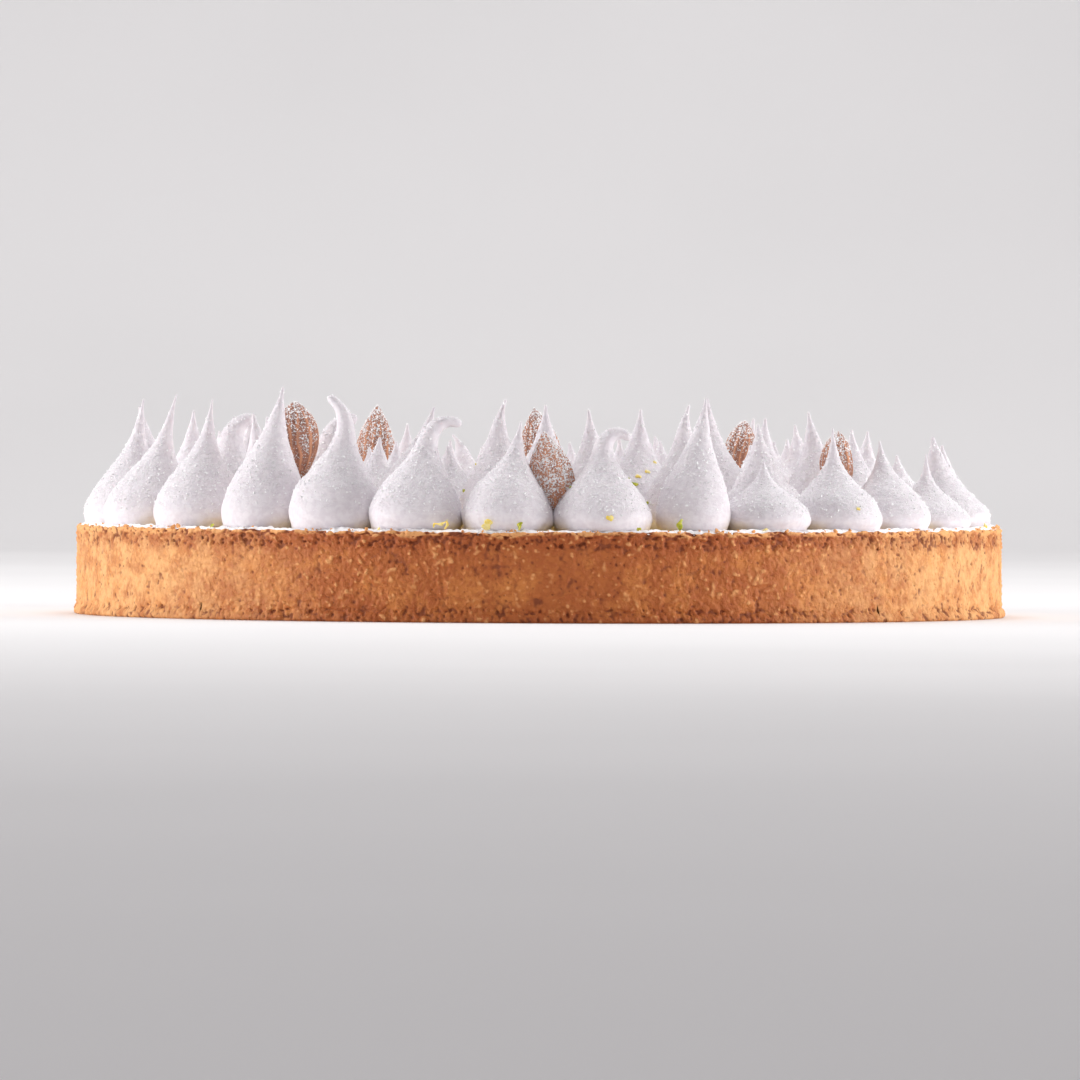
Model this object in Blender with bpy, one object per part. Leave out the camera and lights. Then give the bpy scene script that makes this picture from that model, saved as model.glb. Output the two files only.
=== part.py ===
"""Round lemon tart: a straight-sided shortcrust case filled with lemon cream, covered with piped
meringue kisses, with whole almonds pushed in between them and shreds of citrus zest on the rim.

Metres, +Z up. The origin is the centre of the flat base. The near side of the tart is -Y.
Angles around the tart are in degrees, from the near side (-Y) towards +X.
"""

import math

import bmesh
import bpy
import numpy as np

MM = 0.001

# The pastry case
CASE_RADIUS = 120 * MM
CASE_HEIGHT = 23.2 * MM
WALL_THICKNESS = 4.2 * MM
FLOOR_THICKNESS = 4.0 * MM
FOOT_FLARE = 1.0 * MM  # dough that crept out under the baking ring
FOOT_HEIGHT = 2.6 * MM
CRUMB_DEPTH = 0.8 * MM  # how far the broken rim dips below its high spots
RIM_SAG = 0.5 * MM  # how much lower the wall is at the near and far side than at the ends
CASE_SIDES = 96

# Free space kept between two pieces that touch
GAP = 0.3 * MM
SHARP_ANGLE = math.radians(50)  # edges folded more than this stay crisp in the shading

# The lemon cream inside the case
CREAM_DROP = 0.2 * MM
CREAM_SIDES = 48

# A piped kiss: a round bulb that runs out to a drawn point
KISS_FLOOR = CASE_HEIGHT + GAP
KISS_HALF = 0.44  # share of the length where the kiss is half as wide as its bulb
KISS_SOFTNESS = 0.15  # share of the length over which the bulb turns into the point
UNDERCUT = 0.12  # share by which the foot is narrower than the bulb
UNDERCUT_LENGTH = 0.14
TIP_RADIUS = 0.45 * MM
CURL_START = 0.62  # share of the length where a curled tip begins to turn over
LEAN_POWER = 1.35  # the point leans over as this power of the length
PRESSED_LENGTH = 0.62  # share of the length over which a kiss is pressed flat by its neighbours
INWARD_LEAN = 1.6 * MM
SPINE_STEPS = 96

# The almonds
ALMOND_LENGTH = 21.0 * MM
ALMOND_WIDTH = 11.4 * MM
ALMOND_THICKNESS = 7.8 * MM
ALMOND_SIDES = 10
ALMOND_LEVELS = 7
ALMOND_BLUNTNESS = 0.66  # exponent of the outline: lower is fuller
ALMOND_SHOULDER = 0.42  # share of the length where it is widest
POCKET_CLEARANCE = 0.45 * MM

OUTER_RING_RADIUS = 107.0 * MM
# The inner rings of kisses: radius of the ring, number of kisses, angle of the first one
SECOND_RING = (84.0 * MM, 22, -7.0)
CENTRE_RINGS = (
    (61.0 * MM, 16, 1.2),
    (38.0 * MM, 10, -14.0),
    (15.5 * MM, 4, 20.0),
)
OUTER_SIDES = 10
SECOND_SIDES = 8
CENTRE_SIDES = 7
LEVELS = (0.0, 0.08, 0.22, 0.37, 0.51, 0.66, 0.83)
CURLED_LEVELS = (0.0, 0.08, 0.22, 0.37, 0.50, 0.61, 0.70, 0.78, 0.85, 0.91, 0.96)
CENTRE_LEVELS = (0.0, 0.12, 0.30, 0.46, 0.62, 0.81)

# The kisses of the outer ring, as seen from the near side, left to right: angle, height, bulb
# radius, sideways shift of the tip towards +X (mm), curl of the tip (radians, over towards +X),
# and its own values for KISS_HALF and KISS_SOFTNESS.
NEAR_KISSES = (
    (-82.4, 32.2, 12.9, 3.4, 0.0, 0.39, 0.16),
    (-68.6, 33.4, 13.2, 6.4, 0.0, 0.36, 0.155),
    (-53.6, 32.0, 12.6, 3.0, 0.0, 0.44, 0.145),
    (-40.4, 35.1, 11.6, 4.6, 0.0, 0.47, 0.17),
    (-28.6, 32.4, 12.4, 4.0, -1.3, 0.44, 0.13),
    (-16.8, 26.4, 12.6, 4.0, 2.1, 0.41, 0.13),
    (-4.4, 26.6, 12.2, 3.4, 0.0, 0.46, 0.15),
    (8.3, 23.6, 13.4, 0.1, 2.7, 0.365, 0.10),
    (21.2, 32.6, 10.6, 2.7, 0.0, 0.47, 0.17),
    (31.6, 17.2, 12.3, -0.2, 0.0, 0.50, 0.13),
    (43.8, 25.4, 13.2, -0.5, 0.0, 0.40, 0.14),
    (55.2, 22.3, 11.9, -1.9, 0.0, 0.45, 0.15),
    (67.3, 18.8, 12.5, -0.1, 0.0, 0.38, 0.14),
    (79.4, 23.4, 12.6, -4.0, 0.0, 0.22, 0.15),
)
# The far half of that ring, evenly spaced between the ends of the near one: height, bulb radius,
# shift, curl, and for the first one its own half and softness
FAR_KISSES = (
    (21.2, 12.0, -2.4, 0.0, 0.24, 0.15),
    (21.0, 12.0, 0.6, 0.0),
    (18.5, 12.0, -1.2, 0.0),
    (21.5, 12.0, -1.5, 0.5),
    (22.8, 12.1, -0.5, 0.0),
    (30.5, 12.0, -1.8, 0.0),
    (25.5, 12.1, 0.4, 0.0),
    (22.5, 12.0, 1.5, 0.0),
    (23.5, 12.2, -1.2, -0.7),
    (28.0, 12.0, -2.4, 0.0),
    (22.0, 12.1, 1.0, 0.0),
    (28.0, 12.0, 2.0, 0.0),
    (29.6, 12.0, 0.9, 0.0),
    (30.6, 12.0, -3.4, 0.0),
    (26.0, 12.0, 2.1, 0.0),
)
# The second ring, evenly spaced from the near side towards +X: height, bulb radius, shift, curl
SECOND_KISSES = (
    (32.2, 12.0, -0.6, 0.45),
    (29.7, 11.9, -1.6, 0.0),
    (31.0, 12.0, -0.6, 0.35),
    (26.4, 12.3, -1.2, 0.0),
    (29.5, 12.0, -3.2, 0.0),
    (25.2, 11.8, -0.9, 0.0),
    (24.8, 11.9, 1.2, 0.0),
    (21.0, 11.8, 0.0, 0.0),
    (26.6, 12.0, -2.3, 0.0),
    (28.2, 11.9, 3.2, 0.0),
    (23.4, 12.0, -2.6, 0.0),
    (21.5, 11.9, -2.4, 0.0),
    (23.5, 12.1, -1.6, 0.6),
    (26.4, 11.8, 0.8, 0.0),
    (22.5, 12.0, 1.0, 0.0),
    (28.0, 11.9, -0.8, 0.0),
    (28.0, 12.0, 0.8, 0.0),
    (24.0, 11.9, 0.6, 0.0),
    (27.3, 12.1, 0.5, 1.5),
    (28.6, 11.9, -3.6, 0.0),
    (27.0, 12.2, 1.2, 1.6),
    (30.2, 12.1, 6.4, 0.0),
)
CENTRE_HEIGHTS = (
    (31.0, 30.0, 33.0, 28.0, 22.0, 21.0, 20.0, 22.5, 20.5, 22.0, 20.0, 21.5, 20.0, 21.0, 22.5, 20.5),
    (21.0, 19.5, 22.0, 20.0, 21.5, 19.0, 22.0, 20.5, 21.5, 20.0),
    (20.5, 22.0, 19.5, 21.5),
)
CENTRE_BULB = 13.2

# Where each almond stands: angle round the tart, ring radius, height of its upper end above the
# case, sideways tilt towards +X, turn about its own length (degrees). The pointed end is up where
# the last value is 1 and down where it is -1.
ALMONDS = (
    (-39.2, 97.0 * MM, 31.6 * MM, -4.0, 25.0, -1),
    (217.2, 72.5 * MM, 31.4 * MM, 2.0, -38.0, 1),
    (182.0, 5.5 * MM, 30.8 * MM, -8.0, 30.0, 1),
    (1.4, 104.5 * MM, 24.4 * MM, -10.0, -12.0, 1),
    (133.4, 72.5 * MM, 27.8 * MM, 9.0, 66.0, -1),
    (51.8, 95.5 * MM, 24.8 * MM, 2.0, -72.0, -1),
)

# Zest shreds on the rim: their angles round the tart, and their size
NEAR_ZEST = (-43.9, -19.7, -11.6, -6.3, -2.4, 11.9, 17.0, 28.2)
FAR_ZEST_START, FAR_ZEST_STEP, FAR_ZEST_COUNT = 74.0, 26.5, 8
ZEST_LENGTH = 2.6 * MM
ZEST_WIDTH = 0.8 * MM
ZEST_RING = 118.9 * MM
ZEST_SINK = 0.35 * MM
ZEST_BEND = 0.5 * MM
ZEST_STEPS = 4
# Zest flecks on the kisses: number of the outer kiss, share of its length, side it lies on (degrees)
KISS_ZEST = ((7, 0.13, 12.0), (10, 0.20, 30.0), (16, 0.16, 150.0), (20, 0.18, 200.0), (24, 0.15, 250.0))


def clear_scene():
    for obj in list(bpy.data.objects):
        bpy.data.objects.remove(obj)


def material(name, colour, roughness):
    """A Principled BSDF with one colour, as RGB."""
    made = bpy.data.materials.new(name)
    made.use_nodes = True
    shader = made.node_tree.nodes["Principled BSDF"]
    shader.inputs["Base Color"].default_value = (*colour, 1.0)
    shader.inputs["Roughness"].default_value = roughness
    shader.inputs["Metallic"].default_value = 0.0
    return made


def add_object(name, points, faces, finish):
    """A mesh object from points and faces, with its normals turned outwards."""
    mesh = bpy.data.meshes.new(name)
    mesh.from_pydata([tuple(p) for p in points], [], [tuple(f) for f in faces])
    form = bmesh.new()
    form.from_mesh(mesh)
    bmesh.ops.recalc_face_normals(form, faces=form.faces)
    form.to_mesh(mesh)
    form.free()
    mesh.shade_smooth()
    mesh.set_sharp_from_angle(angle=SHARP_ANGLE)
    mesh.materials.append(finish)
    obj = bpy.data.objects.new(name, mesh)
    bpy.context.scene.collection.objects.link(obj)
    return obj


def place(angle, radius):
    """The point on the ring of that radius, at an angle in degrees from the near side."""
    turn = math.radians(angle)
    return np.array([radius * math.sin(turn), -radius * math.cos(turn)])


def join_rings(rings, close_ends=(True, True)):
    """Points and faces of a tube through rings of equal length. An end closes with one flat face."""
    count, sides = len(rings), len(rings[0])
    points = np.concatenate(rings)
    faces = []
    for level in range(count - 1):
        for side in range(sides):
            after = (side + 1) % sides
            low, high = level * sides, (level + 1) * sides
            faces.append((low + side, low + after, high + after, high + side))
    if close_ends[0]:
        faces.append(tuple(range(sides - 1, -1, -1)))
    if close_ends[1]:
        last = (count - 1) * sides
        faces.append(tuple(range(last, last + sides)))
    return points, faces


def add_fan(points, faces, sides, tip):
    """Closes the last ring of a tube with triangles to a point."""
    last = len(points) - sides
    points = np.vstack([points, tip])
    faces = faces + [(last + k, last + (k + 1) % sides, len(points) - 1) for k in range(sides)]
    return points, faces


def union(target, pieces):
    """Fuses the pieces to the target with one Boolean union, then removes them."""
    group = bpy.data.collections.new(target.name + "_pieces")
    bpy.context.scene.collection.children.link(group)
    for piece in pieces:
        bpy.context.scene.collection.objects.unlink(piece)
        group.objects.link(piece)
    join = target.modifiers.new("join", "BOOLEAN")
    join.operation = "UNION"
    join.operand_type = "COLLECTION"
    join.collection = group
    join.solver = "MANIFOLD"
    apply_modifiers(target)
    for piece in pieces:
        bpy.data.objects.remove(piece)
    bpy.data.collections.remove(group)


def apply_modifiers(obj):
    """Makes the evaluated mesh the object's own, with its coincident points merged."""
    graph = bpy.context.evaluated_depsgraph_get()
    mesh = bpy.data.meshes.new_from_object(obj.evaluated_get(graph))
    form = bmesh.new()
    form.from_mesh(mesh)
    bmesh.ops.remove_doubles(form, verts=form.verts, dist=0.00001)
    bmesh.ops.dissolve_degenerate(form, edges=form.edges, dist=0.00001)
    form.to_mesh(mesh)
    form.free()
    obj.modifiers.clear()
    mesh.set_sharp_from_angle(angle=SHARP_ANGLE)
    obj.data = mesh


def cut(target, cutter):
    """Cuts the target by a helper that isn't part of the tart."""
    cutter.hide_render = True
    cutter.display_type = "WIRE"
    pocket = target.modifiers.new("pocket", "BOOLEAN")
    pocket.operation = "DIFFERENCE"
    pocket.object = cutter


def crumb(angle):
    """How deep the broken rim dips at an angle, from 0 to 1: a few waves of unequal length."""
    turn = math.radians(angle)
    wave = (
        math.sin(7 * turn + 0.4)
        + 0.8 * math.sin(13 * turn + 2.1)
        + 0.9 * math.sin(29 * turn + 1.3)
    )
    return 0.5 + 0.5 * wave / 2.7


def sag(angle):
    """How far the rim has sunk at an angle: most at the near and far side."""
    return RIM_SAG * 0.5 * (1 + math.cos(2 * math.radians(angle)))


def case_ring(radius, height, sides, bulge=0.0, dip=0.0, sunk=0.0):
    """A ring of the case at a height. The bulge swells it and the dip lowers it with the crumb."""
    ring = []
    for side in range(sides):
        angle = 360 * side / sides
        xy = place(angle, radius + bulge * (crumb(angle + 40) - 0.5))
        ring.append((*xy, height - dip * crumb(angle) - sunk * sag(angle)))
    return np.array(ring)


def build_case(finish):
    """The baked pastry case: a floor and an upright wall, with a flared foot and a crumbled rim."""
    inside = CASE_RADIUS - WALL_THICKNESS
    rings = [
        case_ring(CASE_RADIUS + 0.6 * FOOT_FLARE, 0.0, CASE_SIDES),
        case_ring(CASE_RADIUS + FOOT_FLARE, 0.25 * FOOT_HEIGHT, CASE_SIDES),
        case_ring(CASE_RADIUS, FOOT_HEIGHT, CASE_SIDES, bulge=0.5 * MM),
        case_ring(CASE_RADIUS, 0.45 * CASE_HEIGHT, CASE_SIDES, bulge=0.4 * MM),
        case_ring(CASE_RADIUS, 0.80 * CASE_HEIGHT, CASE_SIDES, bulge=0.7 * MM),
        case_ring(CASE_RADIUS - 0.3 * MM, CASE_HEIGHT, CASE_SIDES, 0.5 * MM, CRUMB_DEPTH, 1.0),
        case_ring(CASE_RADIUS - 1.5 * MM, CASE_HEIGHT, CASE_SIDES, sunk=1.0),
        case_ring(inside, CASE_HEIGHT - 0.3 * MM, CASE_SIDES, sunk=0.5),
        case_ring(inside, FLOOR_THICKNESS, CASE_SIDES),
    ]
    case = add_object("pastry_case", *join_rings(rings), finish)
    union(case, [zest_shred(angle, finish) for angle in zest_angles()])
    return case


def zest_angles():
    far = [FAR_ZEST_START + FAR_ZEST_STEP * k for k in range(FAR_ZEST_COUNT)]
    return list(NEAR_ZEST) + far


def zest_shred(angle, finish):
    """A curved sliver of zest lying along the rim, half sunk in its crumb."""
    rings = []
    for step in range(ZEST_STEPS):
        along = step / (ZEST_STEPS - 1) - 0.5
        middle = place(angle + math.degrees(along * ZEST_LENGTH / ZEST_RING), ZEST_RING)
        lift = CASE_HEIGHT - sag(angle) - ZEST_SINK + ZEST_BEND * (1 - (2 * along) ** 2)
        half = 0.5 * ZEST_WIDTH * (1 - abs(along))
        out = middle / np.linalg.norm(middle) * half
        rings.append(
            np.array(
                [
                    (*(middle - out), lift - half),
                    (*(middle + out), lift - half),
                    (*(middle + out), lift + half),
                    (*(middle - out), lift + half),
                ]
            )
        )
    return add_object("zest", *join_rings(rings), finish)


def build_cream(finish):
    """The set lemon cream, a disc that fills the case and shows between the kisses."""
    radius = CASE_RADIUS - WALL_THICKNESS - GAP
    bottom = FLOOR_THICKNESS + GAP
    top = CASE_HEIGHT - CREAM_DROP
    rings = [case_ring(radius, height, CREAM_SIDES) for height in (bottom, top)]
    return add_object("lemon_cream", *join_rings(rings), finish)


def one_kiss(radius, row):
    """A kiss as a dict of its values, in metres.

    Its tip leans towards the middle of the tart by INWARD_LEAN and sideways by its own shift.
    """
    angle, height, bulb, shift, curl, *form = row
    return {
        "centre": place(angle, radius),
        "bulb": bulb * MM,
        "height": height * MM,
        "lean": np.array([shift * MM, -place(angle, INWARD_LEAN)[1]]),
        "curl": curl,
        "form": form or (KISS_HALF, KISS_SOFTNESS),
    }


def outer_kisses():
    """The kisses of the outer ring: the near half as seen, the far half spread over the rest."""
    last, first = NEAR_KISSES[-1][0], NEAR_KISSES[0][0] + 360
    step = (first - last) / (len(FAR_KISSES) + 1)
    far = [(last + step * k, *row) for k, row in enumerate(FAR_KISSES, start=1)]
    return [one_kiss(OUTER_RING_RADIUS, row) for row in NEAR_KISSES + tuple(far)]


def ring_kisses(ring, rows):
    """The kisses of an evenly spaced ring."""
    radius, count, first = ring
    return [one_kiss(radius, (first + 360 * k / count, *row)) for k, row in enumerate(rows)]


def centre_kisses():
    """The kisses of the inner rings. Their tips lean by turns to one side and the other."""
    kisses = []
    for ring, heights in zip(CENTRE_RINGS, CENTRE_HEIGHTS):
        shifts = [1.4 * math.sin(2.4 * k) for k in range(len(heights))]
        rows = [(h, CENTRE_BULB, s, 0.0) for h, s in zip(heights, shifts)]
        kisses += ring_kisses(ring, rows)
    return kisses


def kiss_spine(kiss):
    """Points and directions along the middle of a kiss, from its foot to its tip.

    The spine starts upright. It leans over as a power of the length, and a curl adds a quick extra
    tilt to the last part. The length is scaled until its highest point has the height.
    """
    share = np.linspace(0.0, 1.0, SPINE_STEPS)
    turn = np.clip((share - CURL_START) / (1 - CURL_START), 0, 1) ** 1.5
    lean = LEAN_POWER * share ** (LEAN_POWER - 1)
    tilt = lean[:, None] * (kiss["lean"] / kiss["height"])
    tilt[:, 0] += turn * kiss["curl"]
    angle = np.linalg.norm(tilt, axis=1)
    side = tilt / np.maximum(angle, 1e-9)[:, None]
    ahead = np.column_stack([side * np.sin(angle)[:, None], np.cos(angle)])
    steps = 0.5 * (ahead[1:] + ahead[:-1]) / (SPINE_STEPS - 1)
    spine = np.vstack([np.zeros(3), np.cumsum(steps, axis=0)])
    spine *= kiss["height"] / spine[:, 2].max()
    return share, spine, ahead


def kiss_width(share, kiss):
    """Radius of a kiss along its length: a bulb that narrows to a point by a logistic curve, a foot
    that tucks in under the bulb, and a blunt end."""
    half, softness = kiss["form"]
    falling = (1 + math.exp(-half / softness)) / (1 + np.exp((share - half) / softness))
    foot = 1 - UNDERCUT * np.clip(1 - share / UNDERCUT_LENGTH, 0, 1) ** 2
    return kiss["bulb"] * falling * foot + TIP_RADIUS * share**2


def kiss_rings(kiss, levels, sides):
    """The rings of a kiss, square to its spine, and the point of its tip."""
    share, spine, ahead = kiss_spine(kiss)
    rings = []
    around = np.linspace(0, 2 * math.pi, sides, endpoint=False)
    widen = 1 / math.sqrt(math.sin(2 * math.pi / sides) * sides / (2 * math.pi))
    for level in levels:
        middle = np.array([np.interp(level, share, spine[:, a]) for a in range(3)])
        forward = np.array([np.interp(level, share, ahead[:, a]) for a in range(3)])
        forward /= np.linalg.norm(forward)
        right = np.cross([0.0, 1.0, 0.0], forward)
        right /= np.linalg.norm(right)
        back = np.cross(forward, right)
        width = widen * kiss_width(np.array(level), kiss)
        ring = middle + width * (np.outer(np.cos(around), right) + np.outer(np.sin(around), back))
        rings.append(ring + [*kiss["centre"], KISS_FLOOR])
    tip = spine[-1] + [*kiss["centre"], KISS_FLOOR]
    return rings, tip


def press(rings, levels, kiss, neighbours):
    """Flattens a kiss against its neighbours: no point passes the plane that parts the two bulbs."""
    for other in neighbours:
        apart = other["centre"] - kiss["centre"]
        distance = np.linalg.norm(apart)
        if distance < 1e-6 or distance > 1.3 * (kiss["bulb"] + other["bulb"]):
            continue
        towards = apart / distance
        limit = distance * kiss["bulb"] / (kiss["bulb"] + other["bulb"]) - 0.5 * GAP
        for ring, level in zip(rings, levels):
            if level > PRESSED_LENGTH:
                continue
            past = (ring[:, :2] - kiss["centre"]) @ towards - limit
            ring[:, :2] -= np.outer(np.maximum(past, 0), towards)


def build_kiss(name, kiss, neighbours, levels, sides, finish):
    """One piped kiss as a closed solid."""
    chosen = CURLED_LEVELS if kiss["curl"] else levels
    rings, tip = kiss_rings(kiss, chosen, sides)
    press(rings, chosen, kiss, neighbours)
    points, faces = join_rings(rings, close_ends=(True, False))
    points, faces = add_fan(points, faces, sides, tip)
    return add_object(name, points, faces, finish)


def zest_fleck(kiss, level, side, finish):
    """A small flake of zest half sunk in the side of a kiss."""
    share, spine, _ = kiss_spine(kiss)
    width = float(kiss_width(np.array(level), kiss))
    middle = np.array([np.interp(level, share, spine[:, a]) for a in range(3)])
    out = np.array([*place(side, 1.0), 0.0])
    across = np.array([-out[1], out[0], 0.0])
    centre = middle + out * width + [*kiss["centre"], KISS_FLOOR]
    rings = []
    for depth in (-0.7 * MM, 0.35 * MM):
        corners = [(-0.6, -0.9), (0.6, -0.7), (0.5, 0.8), (-0.5, 0.9)]
        ring = [centre + out * depth + (across * a + np.array([0, 0, b])) * MM for a, b in corners]
        rings.append(np.array(ring))
    return add_object("zest", *join_rings(rings), finish)


def almond_rings(grow):
    """Rings of an upright almond, pointed end up, and its two end points. grow swells it all round."""
    length = ALMOND_LENGTH + 2 * grow
    rings = []
    around = np.linspace(0, 2 * math.pi, ALMOND_SIDES, endpoint=False)
    for level in range(1, ALMOND_LEVELS):
        share = level / ALMOND_LEVELS
        # Widest at the shoulder: each side of it falls off as a power of a half sine.
        bent = share ** (math.log(0.5) / math.log(ALMOND_SHOULDER))
        full = math.sin(math.pi * bent) ** ALMOND_BLUNTNESS
        across = full * (0.5 * ALMOND_WIDTH + grow) * np.cos(around)
        through = full * (0.5 * ALMOND_THICKNESS + grow) * np.sin(around)
        height = np.full(ALMOND_SIDES, length * share - grow)
        rings.append(np.column_stack([across, through, height]))
    return rings, np.array([0, 0, -grow]), np.array([0, 0, length - grow])


def build_almond(name, row, finish, grow=0.0):
    """A whole almond standing in the meringue, as row says."""
    angle, radius, top, tilt, twist, point = row
    rings, low, high = almond_rings(grow)
    points, faces = join_rings(rings, close_ends=(False, False))
    points, faces = add_fan(points, faces, ALMOND_SIDES, high)
    faces += [((k + 1) % ALMOND_SIDES, k, len(points)) for k in range(ALMOND_SIDES)]
    points = np.vstack([points, low])
    points[:, 2] -= 0.5 * ALMOND_LENGTH
    points[:, 2] *= point
    spin, lean = math.radians(twist), math.radians(tilt)
    turn = np.array([[math.cos(spin), -math.sin(spin), 0], [math.sin(spin), math.cos(spin), 0], [0, 0, 1]])
    tip = np.array([[math.cos(lean), 0, math.sin(lean)], [0, 1, 0], [-math.sin(lean), 0, math.cos(lean)]])
    points = points @ turn.T @ tip.T
    centre = np.array([*place(angle, radius), CASE_HEIGHT + top - 0.5 * ALMOND_LENGTH])
    return add_object(name, points + centre, faces, finish)


def main():
    clear_scene()
    pastry = material("baked_pastry", (0.62, 0.31, 0.13), 0.85)
    lemon = material("lemon_cream", (0.90, 0.68, 0.12), 0.35)
    meringue = material("meringue", (0.93, 0.91, 0.91), 0.6)
    skin = material("almond_skin", (0.36, 0.17, 0.10), 0.8)

    build_case(pastry)
    build_cream(lemon)

    outer = outer_kisses()
    second = ring_kisses(SECOND_RING, SECOND_KISSES)
    centre = centre_kisses()
    everyone = outer + second + centre
    flecks = {number: (level, side) for number, level, side in KISS_ZEST}

    kisses = []
    for number, kiss in enumerate(outer):
        obj = build_kiss(f"kiss_outer_{number + 1:02d}", kiss, everyone, LEVELS, OUTER_SIDES, meringue)
        if number in flecks:
            union(obj, [zest_fleck(kiss, *flecks[number], meringue)])
        kisses.append((obj, kiss))
    for number, kiss in enumerate(second):
        obj = build_kiss(f"kiss_second_{number + 1:02d}", kiss, everyone, LEVELS, SECOND_SIDES, meringue)
        kisses.append((obj, kiss))

    heap = [
        build_kiss(f"kiss_{k}", kiss, outer + second, CENTRE_LEVELS, CENTRE_SIDES, meringue)
        for k, kiss in enumerate(centre)
    ]
    middle = heap[0]
    middle.name = "kisses_centre"
    union(middle, heap[1:])

    for number, row in enumerate(ALMONDS):
        almond = build_almond(f"almond_{number + 1}", row, skin)
        pocket = build_almond(f"pocket_{number + 1}", row, skin, grow=POCKET_CLEARANCE)
        foot = np.array(place(row[0], row[1]))
        for obj, kiss in kisses:
            if np.linalg.norm(kiss["centre"] - foot) < kiss["bulb"] + ALMOND_WIDTH:
                cut(obj, pocket)
        if row[1] < SECOND_RING[0]:
            cut(middle, pocket)


main()
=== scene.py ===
import math

import bpy
import numpy as np
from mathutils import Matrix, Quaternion, Vector


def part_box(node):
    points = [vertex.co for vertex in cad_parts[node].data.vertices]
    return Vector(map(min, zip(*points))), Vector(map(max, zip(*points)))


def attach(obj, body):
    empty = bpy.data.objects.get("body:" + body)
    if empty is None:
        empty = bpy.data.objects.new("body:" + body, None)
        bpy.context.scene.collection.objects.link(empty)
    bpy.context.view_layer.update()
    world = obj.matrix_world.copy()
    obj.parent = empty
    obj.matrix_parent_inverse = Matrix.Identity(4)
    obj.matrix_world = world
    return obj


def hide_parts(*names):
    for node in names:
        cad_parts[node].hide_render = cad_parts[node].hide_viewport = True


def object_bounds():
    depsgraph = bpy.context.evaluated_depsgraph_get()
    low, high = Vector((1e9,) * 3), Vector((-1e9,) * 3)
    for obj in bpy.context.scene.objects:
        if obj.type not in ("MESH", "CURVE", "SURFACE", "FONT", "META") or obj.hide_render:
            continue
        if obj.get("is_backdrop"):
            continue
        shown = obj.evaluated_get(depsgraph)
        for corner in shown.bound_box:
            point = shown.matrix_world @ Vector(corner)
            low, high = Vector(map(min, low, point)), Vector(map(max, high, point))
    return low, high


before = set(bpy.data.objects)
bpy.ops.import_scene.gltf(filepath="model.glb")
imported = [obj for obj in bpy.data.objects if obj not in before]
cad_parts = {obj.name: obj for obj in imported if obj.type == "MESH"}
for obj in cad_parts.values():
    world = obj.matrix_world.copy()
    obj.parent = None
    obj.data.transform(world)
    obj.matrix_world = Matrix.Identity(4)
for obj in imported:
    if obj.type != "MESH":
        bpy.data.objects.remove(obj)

cad_box = [list(corner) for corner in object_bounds()]
MM = 0.001


# The pastry case: a strip of shortcrust pressed round the inside of a straight ring, on a disc of
# the same dough, baked until golden. The wall is sandy, and pitted most of all along the rim and
# the foot, where a little dough crept out under the ring.

FOOT_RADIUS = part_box("pastry_case")[1][0]
CASE_RADIUS = FOOT_RADIUS - 1.0 * MM
CASE_HEIGHT = 23.2 * MM
WALL_THICKNESS = 4.2 * MM
FLOOR_THICKNESS = 4.0 * MM
FOOT_HEIGHT = 2.6 * MM
RIM_SAG = 0.5 * MM  # how much lower the wall is at the near and far side than at the left and right
WALL_ARCS = 4  # the wall's mesh is kept in four arcs, each light enough to handle
ARC_COLUMNS = 700
WALL_ROWS = 80
DARK_RIM = 6.0 * MM  # height of the well-browned, pitted band under the rim
DARK_FOOT = 4.5 * MM
CRUMB_HEIGHT = 0.50 * MM
SPECK_HEIGHT = 0.30 * MM
PIT_DEPTH = 0.75 * MM
BROKEN_RIM = 0.62 * MM  # how far the rim is broken down in most places


def corner_values(index, seed):
    """A repeatable number from 0 to 1 for each whole-numbered grid corner: its three indices and
    the seed are multiplied by large primes and mixed, and the low bits are kept."""
    key = index[..., 0] * 73856093 ^ index[..., 1] * 19349663 ^ index[..., 2] * 83492791
    key = (key ^ (seed * 2654435761)) * 1274126177
    key = (key ^ (key >> 15)) * 40503
    return ((key ^ (key >> 13)) & 0xFFFF) / 65535.0


def lumps(points, cell, seed):
    """Smooth lumps from -1 to 1 about as wide as cell: every corner of a grid of cubes has a random
    value, and a point takes the smooth blend of the eight corners round it."""
    scaled = points / cell
    low = np.floor(scaled).astype(np.int64)
    part = scaled - low
    part = part * part * (3 - 2 * part)
    total = np.zeros(points.shape[:-1])
    for corner in np.ndindex(2, 2, 2):
        weight = np.prod(np.where(np.array(corner, bool), part, 1 - part), axis=-1)
        total += weight * corner_values(low + corner, seed)
    return 2 * total - 1


def hollows(points, cell, reach, seed):
    """Round hollows from 0 to 1: each cube of side cell has one seed point, and the value falls
    evenly from 1 at the nearest seed to 0 at the distance reach."""
    scaled = points / cell
    home = np.floor(scaled).astype(np.int64)
    best = np.full(points.shape[:-1], 9.0)
    for step in np.ndindex(3, 3, 3):
        cube = home + np.array(step) - 1
        spot = cube + np.stack([corner_values(cube, seed + axis) for axis in range(3)], axis=-1)
        best = np.minimum(best, np.sum((spot - scaled) ** 2, axis=-1))
    return np.clip(1 - np.sqrt(best) * cell / reach, 0, 1)


def ease(value, low, high):
    """0 below low, 1 above high, and a smooth S curve between them."""
    share = np.clip((value - low) / (high - low), 0, 1)
    return share * share * (3 - 2 * share)


def full_turn(count):
    """A row of angles spread evenly round a circle."""
    return np.linspace(0, 2 * math.pi, count, endpoint=False)[None]


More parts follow.
